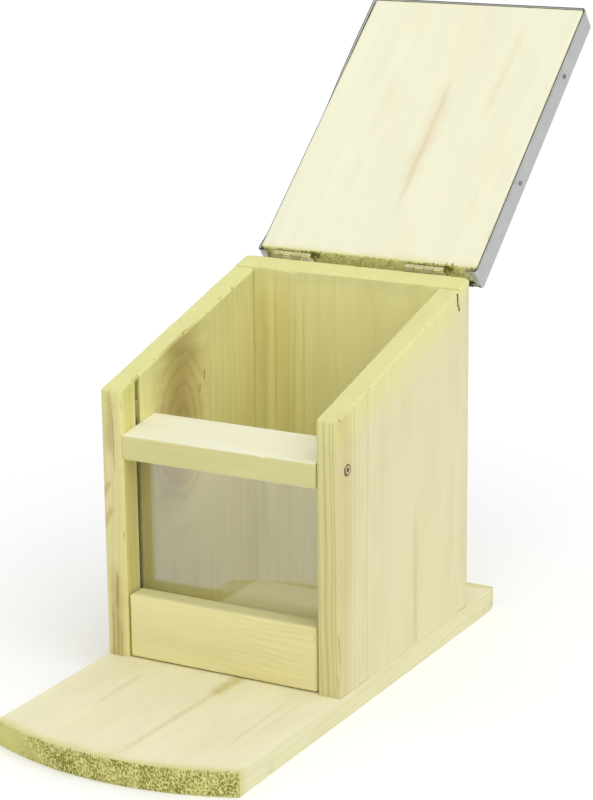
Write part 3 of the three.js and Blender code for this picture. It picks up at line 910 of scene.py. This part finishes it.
bm = under_roof("back_panel")
for sign in (1, -1):
    round_off(bm, 1.4, 4, lambda p: p.z > BOARD + 1 and sign * p.x > HALF_WIDTH - NEAR)
ease(bm, 1.6, lambda p: at_joint(p) and abs(p.x) > HALF_WIDTH - NEAR, under_hinges,
     lambda p: at_joint(p) and p.z > roof_height(p.y) - 2.6)
rounded(bm, [e for e in bm.edges if within(e, under_hinges)], 0.5, 2)
bm = combined(bm, screw_holes("back_panel_left_screw", "back_panel_right_screw"))
sliced(bm, Z=2.2, X=2.0)
sliced(bm, near_top, Y=1.5)
wander(bm, seed=5, arris_depth=0.5, grain=(1, 1, 0.4),
       spare=lambda p: at_joint(p) and p.z < roof_height(p.y) - 2)
soaked(bm, below_roof, reach=9)
back_pine = treated_pine(
    "treated_pine_back",
    log_space((30, 226, 90), (0.01, 0, 1), RIGHT), FRONT,
    # The inner face is paler and yellower than reverse, the outer face: partly the wood's own tone
    # and partly painted light for the inside of the box, where less light falls
    face="#f0eba4", edge="#dcd6ac", end="#dedc96", late="#c4ab74", reverse="#dfd9ae",
    ring=4.4, rings_on_face=0.08, rings_on_edge=0.05, thin=0.6, fibre=0.25, warp=2.0,
    streaks=[(FRONT, [
        ((-34, 130, 40), (-37, 130, 200), 9, "#eadcb0", 0.45),
        ((-40.8, 130, 90), (-41, 130, 190), 1.4, "#d8c08a", 0.3),
        ((-31, 130, 70), (-29, 130, 186), 1.6, "#d8c08a", 0.25),
        ((-24.5, 130, 60), (-24, 130, 182), 1.2, "#d8c08a", 0.25),
        # Partly painted shade: this band darkens the corner where the left side meets the back
        ((-49, 130, 20), (-48, 130, 200), 4.5, "#dccfa0", 0.4)])],
)
finished("feeder_back_panel", bm, back_pine, "box", "back_panel")

# %% [markdown]
# ## Rails
#
# The bottom rail's front still has the ripple of the saw, strongest towards its right end, and its
# ends show dark joints. The top rail fits tightly, and its top face rises a little to the rear.

# %% Bottom rail
END_GAP = Vector((0.4, 0, 0))
SAW_PITCH = 3.1

low, high = node_box("bottom_rail")
bm = block(low + END_GAP, high - END_GAP)
ease(bm, 1.2)
sliced(bm, X=1.1, Z=0.7, Y=2.5)
for vert in bm.verts:
    if vert.co.y < low.y + 0.2:
        bend = noise.noise(Vector((vert.co.x / 38, vert.co.z / 12, 4.2))) * 3.2
        ripple = math.sin((vert.co.z + bend + vert.co.x * 0.05) / SAW_PITCH * 2 * math.pi)
        strength = 0.05 + 0.13 * smoothstep(-25, 35, vert.co.x)
        vert.co.y += (ripple * 0.5 + 0.5) * strength
wander(bm, seed=7, arris_depth=0.5, grain=(0.4, 1, 1))
bottom_pine = treated_pine(
    "treated_pine_bottom_rail",
    log_space((0, 92, 34), (1, 0, 0.01), REAR), REAR,
    face="#eae2a6", edge="#e6e0a4", end="#d6d28a", late="#c4b070",
    ring=3.0, rings_on_face=0.06, rings_on_edge=0.08, fibre=0.26, warp=2.0,
)
finished("feeder_bottom_rail", bm, bottom_pine, "box", "bottom_rail")

# %% Top rail
TOP_RAIL_FRONT_HEIGHT = 12.5
TIGHT_END = Vector((0.2, 0, 0))

low, high = node_box("top_rail")
bm = block(low - TIGHT_END, high + TIGHT_END)
for vert in bm.verts:
    if vert.co.z > low.z + 1 and vert.co.y < low.y + 1:
        vert.co.z = low.z + TOP_RAIL_FRONT_HEIGHT
ease(bm, 0.9, lambda p: p.x < low.x, lambda p: p.x > high.x)
sliced(bm, X=1.4, Z=2.0, Y=2.0)
wander(bm, seed=8, arris_depth=0.45, grain=(0.4, 1, 1))
top_rail_pine = treated_pine(
    "treated_pine_top_rail",
    log_space((0, 18, 32), (1, 0.01, 0), REAR), UP,
    face="#ebe9cc", edge="#d5d093", end="#cfcb86", late="#d8cfa0",
    ring=5.0, rings_on_face=0.05, rings_on_edge=0.05, fibre=0.2, warp=3.0,
)
finished("feeder_top_rail", bm, top_rail_pine, "box", "top_rail")

# %% [markdown]
# ## Window
#
# The window is a clear sheet of hard-coated polycarbonate. It bends light more than glass does, so
# its IOR is 1.58, and its hard coat adds a second, sharp reflection: together they lay a pale veil
# over what lies behind. It is one closed solid with real thickness, because light has to enter and
# leave it. Its faces are kept flat, since a smooth-shaded pane reflects like a lens.

# %% Window
polycarbonate, put = new_material("hard_coated_polycarbonate_sheet")
coordinates = put("TexCoord", out="Object")
smears = put("TexNoise", {"Vector": coordinates, "Scale": 40.0, "Detail": 3.0})
haze = put("MapRange", smears, 0.4, 0.75, 0.015, 0.06)
shader = put("BsdfPrincipled", {
    "Base Color": "#fbfcfb", "Roughness": haze, "IOR": 1.58, "Transmission Weight": 1.0,
    "Coat Weight": 1.0, "Coat IOR": 1.6, "Coat Roughness": 0.02})
put("OutputMaterial", shader)

low, high = node_box("window_pane")
bm = block(low, high)
ease(bm, 0.25, segments=2)
print("window", [round(c, 1) for c in high - low], "mm")
finished("feeder_window", bm, polycarbonate, "box", "window_pane", sharp=10)

# %% [markdown]
# ## Lid board
#
# The lid is modelled closed and level about the hinge's axis, where its sizes are plain to read,
# and one matrix then opens it. Its hinge end is sawn and rough. The wood beside each hinge's right
# end is torn out, so a patch of the end face is pushed in and its pits are deeper.

# %% Lid board
LID_SHIFT = 4.5
LID_HALF_WIDTH = 62.25
lid_left, lid_right = LID_SHIFT - LID_HALF_WIDTH, LID_SHIFT + LID_HALF_WIDTH
LID_REAR = -2.2
LID_LENGTH = 177.0
LID_UNDER = -1.0
HINGE_LENGTH = 21.0
HINGE_STARTS = {"left": -48.7, "right": 27.7}
LID_CHIPS = ((42.6, -2.5, -0.8, 0.8), (44.9, -2.5, -0.8, 0.6), (53.1, -2.6, -0.8, 0.8),
             (-22.5, -2.5, -0.8, 0.6))
# The torn patch beside a hinge: how far past its end, how high, its half sizes and its depth
TEAR_PAST, TEAR_HIGH, TEAR_WIDTH, TEAR_HEIGHT, TEAR_DEPTH = 1.7, 1.8, 3.4, 3.1, 0.9

bm = block((lid_left, LID_REAR - LID_LENGTH, LID_UNDER), (lid_right, LID_REAR, LID_UNDER + BOARD))
rounded(bm, along(bm, 2), 1.7, 4)
ease(bm, 0.8, sharper_than=50)
sliced(bm, Y=3.0, X=2.0)
sliced(bm, lambda p: p.y > LID_REAR - 1, Z=0.5)
sliced(bm, lambda p: p.y > LID_REAR - 2.5, X=0.5)
wander(bm, seed=9, arris_depth=0.3, grain=(1, 0.4, 1))
torn = pits_and_shade_layer(bm)
for vert in bm.verts:
    for start in HINGE_STARTS.values():
        across = (vert.co.x - (start + HINGE_LENGTH + TEAR_PAST)) / TEAR_WIDTH
        up = (vert.co.z - TEAR_HIGH) / TEAR_HEIGHT
        ragged = 0.5 * noise.noise(vert.co / 1.3) + 0.25 * noise.noise(vert.co / 0.6)
        tear = 1 - smoothstep(0.4, 1.0, math.hypot(across, up) + ragged)
        if vert.co.y > LID_REAR - 2 and tear > 0:
            rough = smoothstep(-0.35, 0.35, noise.noise(vert.co / 0.8))
            vert.co.y -= TEAR_DEPTH * tear * (0.3 + rough)
            vert[torn] = (0.6 + 1.1 * rough) * smoothstep(0, 0.8, tear)
pitted(bm, REAR, lambda p: p.y > LID_REAR - 1, seed=4, depth=0.3, most=0.7)
chipped(bm, (0, -1, 1), LID_CHIPS, dark=1.3)
soaked(bm, lambda p: LID_REAR - p.y, reach=4)

lid_turn = LID_TO_BOX.to_3x3()
LID_FACE = lid_turn @ Vector(UP)


def lid_point(x, y, z=LID_UNDER):
    return LID_TO_BOX @ Vector((x, y, z))


lid_pine = treated_pine(
    "treated_pine_lid",
    log_space(lid_point(20, -90, 75), lid_turn @ Vector((0.01, 1, 0.01)), RIGHT), LID_FACE,
    face="#edebce", edge="#dedb9e", end="#dddb94", late="#e2d4b0",
    ring=6.0, rings_on_face=0.04, rings_on_edge=0.1, fibre=0.08, warp=4.0, blush="#f1e7d0",
    streaks=[(-LID_FACE, [
        (lid_point(9.8, -26), lid_point(8.2, -140), 2.8, "#e6dac6", 0.38),
        (lid_point(9.6, -44), lid_point(8.6, -126), 8.0, "#f3e7dc", 0.5),
        (lid_point(36, -94), lid_point(37.5, -172), 4.5, "#f2e7d8", 0.42)])],
)
finished("feeder_lid_board", bm, lid_pine, "lid", "lid_board", place=LID_TO_BOX)

# %% [markdown]
# ## Lid cover
#
# The cover is one piece of thin zinc-coated steel, folded down over three sides of the lid, with a
# small tab bent round each corner at the hinge end. A folded sheet is best made as one: a rounded
# rectangle, its rim drawn down, the fold bevelled, and a Solidify modifier for its thickness.

# %% Zinc-coated sheet
zinc, put = new_material("galvanised_steel_sheet")
coordinates = put("TexCoord", out="Object")
spangle = put("TexVoronoi", {"Vector": coordinates, "Scale": 1 / 0.007}, feature="F1", out="Color")
spangle_value = put("SeparateColor", spangle)
rolling_place = put("VectorMath", coordinates, (1 / 0.0006, 1 / 0.03, 1 / 0.03), **TIMES)
rolling = put("TexNoise", {"Vector": rolling_place, "Scale": 1.0, "Detail": 3.0})
cloud = put("TexNoise", {"Vector": coordinates, "Scale": 28.0, "Detail": 4.0})
mottle = put("Math", spangle_value, 0.35, cloud, **TIMES_PLUS)
colour = put("Mix", {0: mottle, 6: "#a9aba9", 7: "#c5c6c4"}, **BLEND)
rough = put("MapRange", mottle, 0.3, 1.0, 0.34, 0.5)
relief = put("Math", rolling, 0.01, cloud, **TIMES_PLUS)
bump = put("Bump", {"Height": relief, "Strength": 0.15, "Distance": MM})
shader = put("BsdfPrincipled", {
    "Base Color": colour, "Metallic": 1.0, "Roughness": rough, "Normal": bump})
put("OutputMaterial", shader)

# %% [markdown]
# Shears leave a bright zinc face but a bare, dark cut edge. The Solidify modifier can give its rim
# a second finish, so the cut edge doesn't need a mesh of its own. Its near-black is partly the bare
# steel and partly painted shade for the shadowed edge; the rear lip gets the same finish.

# %% Sheared edge
cut_edge_and_shade_steel, put = new_material("sheared_edge_and_painted_shade")
coordinates = put("TexCoord", out="Object")
streaky = put("TexNoise", {"Vector": coordinates, "Scale": 1 / 0.004, "Detail": 3.0})
# Dark grey to near black: bare steel, and partly painted shade on the rim and the rear lip
colour = put("Mix", {0: streaky, 6: "#2c2c28", 7: "#7d7e79"}, **BLEND)
bump = put("Bump", {"Height": streaky, "Strength": 0.4, "Distance": 0.1 * MM})
shader = put("BsdfPrincipled", {
    "Base Color": colour, "Metallic": 1.0, "Roughness": 0.55, "Normal": bump})
put("OutputMaterial", shader)

# %% Lid cover's sizes
SHEET = 0.6
SHEET_REACH = 0.9
COVER_AIR = 1.2
COVER_TOP = LID_UNDER + BOARD + COVER_AIR + SHEET
COVER_CORNER, COVER_FOLD = 1.8, 0.9
REAR_REACH = 2.0
REAR_LIP = 2.4
LIP_UNDER = COVER_TOP - REAR_LIP
TAB_WIDTH = 5.0
TAB_TIP = 1.0

left, right = lid_left - SHEET_REACH, lid_right + SHEET_REACH
front, rear = LID_REAR - LID_LENGTH - SHEET_REACH, LID_REAR + REAR_REACH


def cut_away(bm, place, normal, where):
    """Cuts along a plane and throws away what lies beyond it, only where a test says so."""
    faces = [f for f in bm.faces if where(f.calc_center_median())]
    bmesh.ops.bisect_plane(bm, geom=with_corners(faces), dist=1e-4, plane_co=place,
                           plane_no=normal)
    beyond = [f for f in bm.faces if where(f.calc_center_median())
              and (f.calc_center_median() - Vector(place)).dot(Vector(normal)) > 0]
    bmesh.ops.delete(bm, geom=beyond, context="FACES")


def on_top(place):
    return abs(place.z - COVER_TOP) < 0.01


def between_tabs(place):
    return place.y > LID_REAR + 0.05 and lid_left + TAB_WIDTH < place.x < lid_right - TAB_WIDTH


# %% Lid cover's folds
bm = bmesh.new()
corners = ((left, front), (right, front), (right, rear), (left, rear))
bm.faces.new([bm.verts.new((x, y, COVER_TOP)) for x, y in corners])
rounded(bm, list(bm.verts), COVER_CORNER, 5, affect="VERTICES")
for x in (lid_left + TAB_WIDTH, lid_right - TAB_WIDTH):
    split(bm, 0, x)
rim = [e for e in bm.edges if e.is_boundary]
skirt = bmesh.ops.extrude_edge_only(bm, edges=rim)["geom"]
bmesh.ops.translate(bm, vec=(0, 0, LID_UNDER - COVER_TOP),
                    verts=[item for item in skirt if isinstance(item, bmesh.types.BMVert)])
bmesh.ops.recalc_face_normals(bm, faces=bm.faces)
if sum(f.normal.z * f.calc_area() for f in bm.faces) < 0:
    bmesh.ops.reverse_faces(bm, faces=bm.faces)
fold = [e for e in bm.edges if e.is_manifold and within(e, on_top)
        and e.calc_face_angle() > math.radians(60)]
rounded(bm, fold, COVER_FOLD, 4)
for edge, sign in ((lid_left, 1), (lid_right, -1)):
    off_tab = (sign * (COVER_TOP - LID_UNDER), 0, TAB_WIDTH - TAB_TIP)
    cut_away(bm, (edge + sign * TAB_WIDTH, rear, LID_UNDER), off_tab,
             lambda p: p.y > LID_REAR and abs(p.x - edge) < TAB_WIDTH + NEAR)
cut_away(bm, (0, 0, LIP_UNDER), DOWN, between_tabs)
sliced(bm, Y=4.0, X=4.0, Z=2.5)
split(bm, 2, LIP_UNDER)
print("lid cover:", len(bm.faces), "faces")

# %% [markdown]
# The top sags a little between its folds, and the long flanges are drawn in slightly. The left one
# flares towards the front and is a little less deep towards the rear. The rear lip takes the dark
# finish of the cut edges as painted shade, for the shadow under the sheet at the hinge end.

# %% Lid cover's dents
SAG, DRAWN_IN, FLARE, FRONT_FLARE, RECESS = 0.25, 0.12, 0.9, 0.3, 1.5

for vert in bm.verts:
    sag = noise.noise(vert.co / 45 + Vector((3, 1, 7)))
    if on_top(vert.co):
        vert.co.z -= SAG * (sag * 0.5 + 0.5)
    elif vert.co.x > right - 0.2 or vert.co.x < left + 0.2:
        inward = -DRAWN_IN if vert.co.x > 0 else DRAWN_IN
        dent = noise.noise(Vector((vert.co.y / 22, vert.co.z / 30, 2)))
        vert.co.x += inward * (dent * 0.5 + 0.5)
for vert in bm.verts:
    x, y, z = vert.co
    if x < left + 0.3:
        low = smoothstep(COVER_TOP - 3, LID_UNDER, z)
        vert.co.x -= FLARE * smoothstep(front + 75, front + 4, y) * low
        behind = 1 - smoothstep(front + 90, front + 45, y)
        vert.co.z += (RECESS * smoothstep(COVER_TOP - 8, LID_UNDER, z) * behind
                      * smoothstep(rear - 3, rear - 12, y))
    if y < front + 0.3:
        vert.co.y -= FRONT_FLARE * smoothstep(COVER_TOP - 3, LID_UNDER, vert.co.z)
# Painted shade: the faces of the rear lip take the dark cut-edge finish
middles = [face.calc_center_median() for face in bm.faces]
lip_painted_shade = [index for index, face in enumerate(bm.faces) if face.normal.y > 0.9
       and middles[index].y > LID_REAR and LIP_UNDER < middles[index].z < COVER_TOP - 0.8]
cover = finished("feeder_lid_cover", bm, zinc, "lid", "lid_cover",
                 place=LID_TO_BOX, sharp=50)
thickness = cover.modifiers.new("sheet", "SOLIDIFY")
thickness.thickness = SHEET * MM
thickness.offset = -1
thickness.use_even_offset = True
thickness.material_offset_rim = 1
cover.data.materials.append(cut_edge_and_shade_steel)
for index in lip_painted_shade:
    cover.data.polygons[index].material_index = 1
print("rear lip:", len(lip_painted_shade), "faces")

# %% [markdown]
# ## Hinges
#
# Each hinge is a small butt hinge of pressed steel with pale brass plating: two thin leaves whose
# edges are rolled round a pin into knuckles. The first and third knuckles from the left belong to
# the leaf on the box. A leaf is built from a plate and tubes that a Boolean joins, then its
# notches, bore and screw holes are cut. The knuckles stay pale, and the plating is painted darkest
# just off the axis: painted shade for the shadow in the crease beside and under the knuckles.

# %% Brass plating
brass, put = new_material("brass_plated_steel")
coordinates = put("TexCoord", out="Object")
wear = put("TexNoise", {"Vector": coordinates, "Scale": 260.0, "Detail": 3.0})
bright = put("Mix", {0: wear, 6: "#c6b97c", 7: "#fbf5c4"}, **BLEND)
# Painted shade: darkest from 1.9 to 3 mm off the axis and lighter out to 6 mm, for the shadow in the
# crease beside and under the knuckles
from_axis = put("VectorMath", coordinates, AXIS * MM, **LESS)
square_on = put("VectorMath", from_axis, (0, 1, 1), **TIMES)
away = put("VectorMath", square_on, **LENGTH)
crease_shade = put("MapRange", away, 1.5 * MM, 1.9 * MM, 0.0, 0.6, **SMOOTH)
under_knuckle_shade = put("MapRange", away, 3.0 * MM, 6.0 * MM, 1.0, 0.3, **SMOOTH)
under_knuckle_shade = put("Math", crease_shade, under_knuckle_shade, **TIMES)
colour = put("Mix", {0: under_knuckle_shade, 6: bright, 7: "#4f4529"}, **BLEND)
rough = put("MapRange", wear, {"To Min": 0.14, "To Max": 0.34})
bump = put("Bump", {"Height": wear, "Strength": 0.08, "Distance": 0.1 * MM})
shader = put("BsdfPrincipled", {
    "Base Color": colour, "Metallic": 1.0, "Roughness": rough, "Normal": bump})
put("OutputMaterial", shader)

# %% Hinge leaves
BARREL = 1.5
LEAF_PLANE = -1.1
LEAF = 0.8
LEAF_REACH = 10.0
LEAF_CORNER = 0.8
KNUCKLES = 4
KNUCKLE_GAP = 0.2
CHAMFER_IN, CHAMFER_ALONG = 0.4, 0.35
PIN = 0.9
PIN_CLEARANCE = 0.08
NOTCH_TOP = 2.3
SCREW_SPACING = 12.0
LEAF_SCREW = dict(head=1.7, shank=0.8, length=8.0, head_depth=1.0)
knuckle = (HINGE_LENGTH - (KNUCKLES - 1) * KNUCKLE_GAP) / KNUCKLES


def leaf_screw_place(start, sign):
    """Where the head of a leaf's left or right screw lies, in the hinge's own frame."""
    return (start + HINGE_LENGTH / 2 + sign * SCREW_SPACING / 2, LEAF_PLANE,
            (NOTCH_TOP + LEAF_REACH) / 2)


def hinge_leaf(start, first):
    """A leaf that stands up from the axis, with every second knuckle, in the hinge's own frame."""
    bm = block((start, LEAF_PLANE - LEAF, 0), (start + HINGE_LENGTH, LEAF_PLANE, LEAF_REACH))
    rounded(bm, [e for e in along(bm, 1) if e.verts[0].co.z > 1], LEAF_CORNER, 4)
    rolls, notches = bmesh.new(), bmesh.new()
    for index in range(KNUCKLES):
        x = start + index * (knuckle + KNUCKLE_GAP)
        if index % 2 == first:
            rim = BARREL - CHAMFER_IN
            turned(rolls, [
                (0, 0), (rim, 0), (BARREL, CHAMFER_ALONG), (BARREL, knuckle - CHAMFER_ALONG),
                (rim, knuckle), (0, knuckle)], (x, 0, 0), RIGHT, steps=40)
        else:
            block((x - KNUCKLE_GAP, -BARREL - 2, -2), (x + knuckle + KNUCKLE_GAP, 2, NOTCH_TOP),
                  notches)
    bore = PIN + PIN_CLEARANCE
    turned(tagged(notches), [(0, -1), (bore, -1), (bore, HINGE_LENGTH + 1), (0, HINGE_LENGTH + 1)],
           (start, 0, 0), RIGHT)
    for sign in (-1, 1):
        screw_hole(notches, leaf_screw_place(start, sign), REAR, **LEAF_SCREW)
    bm = combined(bm, rolls, "UNION")
    return combined(bm, notches, overlapping=True)


# %% Both hinges
flip = Matrix.Diagonal((1, 1, -1, 1))
on_axis = Matrix.Translation(AXIS)
# Radius and height of one riveted end of a pin; the other end mirrors it
pin = [(0, -0.7), (1.2, -0.7), (1.4, -0.5), (1.4, -0.2), (PIN, -0.2)]
pin += [(radius, HINGE_LENGTH - height) for radius, height in reversed(pin)]
for side, start in HINGE_STARTS.items():
    bm = hinge_leaf(start, 0)
    bmesh.ops.transform(bm, matrix=flip, verts=bm.verts)
    bmesh.ops.reverse_faces(bm, faces=bm.faces)
    finished(f"{side}_hinge_leaf_on_box", bm, brass, "box",
             f"{side}_hinge_box_leaf", place=on_axis)
    finished(f"{side}_hinge_leaf_on_lid", hinge_leaf(start, 1), brass, "lid",
             f"{side}_hinge_lid_leaf", place=LID_TO_BOX)
    finished(f"{side}_hinge_rivet_pin", turned(bmesh.new(), pin, (start, 0, 0), RIGHT), brass,
             "box", f"{side}_hinge_pin", place=on_axis)

# %% [markdown]
# ## Screws and nails
#
# The screws are zinc-plated, with a countersunk head and a cross recess; the hinge screws are
# smaller and brass-plated. A screw is turned in one piece and its recess is cut by two crossed
# blocks. The nails that hold the cover are short, with a low domed head.

# %% Plated steel
def plated_steel(name, dull, bright):
    """Zinc plating that is dull and bright in specks."""
    material, put = new_material(name)
    coordinates = put("TexCoord", out="Object")
    wear = put("TexNoise", {"Vector": coordinates, "Scale": 700.0, "Detail": 4.0})
    colour = put("Mix", {0: wear, 6: dull, 7: bright}, **BLEND)
    rough = put("MapRange", wear, {"To Min": 0.3, "To Max": 0.5})
    shader = put("BsdfPrincipled", {"Base Color": colour, "Metallic": 1.0, "Roughness": rough})
    put("OutputMaterial", shader)
    return material


# Passivated plating is yellowish; the nails are grey like the sheet, but painted darker: painted
# shade for the shadowed dents round their heads
zinc_plate = plated_steel("zinc_plated_screw_steel", "#857e5e", "#e0d9b8")
nail_zinc_painted_dark = plated_steel("zinc_nail_steel_painted_shade", "#6c6e6d", "#979a98")


# %% Screws
WOOD_SCREW = dict(head=2.3, head_rim=0.3, head_depth=1.9, shank=1.5, length=25.0, tip=3.0,
                  slot=3.3, slot_width=1.0, slot_depth=1.6)
HINGE_SCREW = dict(LEAF_SCREW, head_rim=0.2, tip=1.5, slot=2.1, slot_width=0.5, slot_depth=0.6)
# The screws of the top rail were driven a little off the centre of their holes
OFF_CENTRE = Vector((0, 0.3, 0.2))
RECESS_TURN = Matrix.Rotation(0.4, 4, "Z")
RECESS_TAPER = 0.6
HEAD_BEVEL = 0.12


def screw(place, out, head, head_rim, head_depth, shank, length, tip, slot, slot_width,
          slot_depth):
    bm = turned(bmesh.new(), [
        (0, -length), (shank, tip - length), (shank, -head_depth), (head, -head_rim),
        (head - HEAD_BEVEL, 0), (0, 0)], (0, 0, 0), UP, steps=28)
    for wide, deep in ((slot, slot_width), (slot_width, slot)):
        arm = block((-wide / 2, -deep / 2, -slot_depth), (wide / 2, deep / 2, 2))
        for vert in arm.verts:
            if vert.co.z < 0:
                vert.co.x *= RECESS_TAPER
                vert.co.y *= RECESS_TAPER
        bm = combined(bm, arm)
    bmesh.ops.transform(bm, matrix=Matrix.Translation(place) @ turn_to(out) @ RECESS_TURN,
                        verts=bm.verts)
    return bm


for name in sorted(frame["nodes"]):
    if "screw" in name and "hinge_lid" not in name:
        place, out = head_of(name)
        if name.startswith("top_rail_screw"):
            place += OFF_CENTRE
        small = "hinge" in name
        bm = screw(place, out, **(HINGE_SCREW if small else WOOD_SCREW))
        finished(name + "_head", bm, brass if small else zinc_plate, "box",
                 name)
for side, start in HINGE_STARTS.items():
    for end, sign in (("left", -1), ("right", 1)):
        name = f"{side}_hinge_lid_screw_{end}"
        bm = screw(leaf_screw_place(start, sign), REAR, **HINGE_SCREW)
        finished(name + "_head", bm, brass, "lid", name, place=LID_TO_BOX)


# %% Nails
def nail(place, out):
    """A nail, whose profile runs from its point to the top of its domed head."""
    return turned(bmesh.new(), [
        (0, -12), (0.7, -10.5), (0.7, -0.1), (1.25, -0.1), (1.3, 0.05), (1.1, 0.3), (0.6, 0.45),
        (0, 0.5)], place, out, steps=24)


# How far the nails are from the lid's underside, its hinge end, its front end and its sides
NAIL_HEIGHT, FROM_REAR, FROM_FRONT, FROM_SIDE = 7, 62, 41.5, 31
NAIL_PROUD = 0.15
height = LID_UNDER + NAIL_HEIGHT
nails = {}
for side, sign in (("left", -1), ("right", 1)):
    for end, y in (("rear", LID_REAR - FROM_REAR), ("front", LID_REAR - LID_LENGTH + FROM_FRONT)):
        face = LID_HALF_WIDTH + SHEET_REACH + NAIL_PROUD
        place = (LID_SHIFT + sign * face, y, height)
        nails[f"lid_cover_{side}_nail_{end}"] = place, (sign, 0, 0)
    place = (LID_SHIFT + sign * (LID_HALF_WIDTH - FROM_SIDE), front - NAIL_PROUD, height)
    nails[f"lid_cover_front_nail_{side}"] = place, FRONT
for name, (place, out) in nails.items():
    finished(name + "_head", nail(place, out), nail_zinc_painted_dark, "lid", name,
             place=LID_TO_BOX)

# %% CAD nodes still shown
left_over = [name for name, node in frame["nodes"].items() if not node.hide_render]
print("CAD nodes still shown:", left_over)
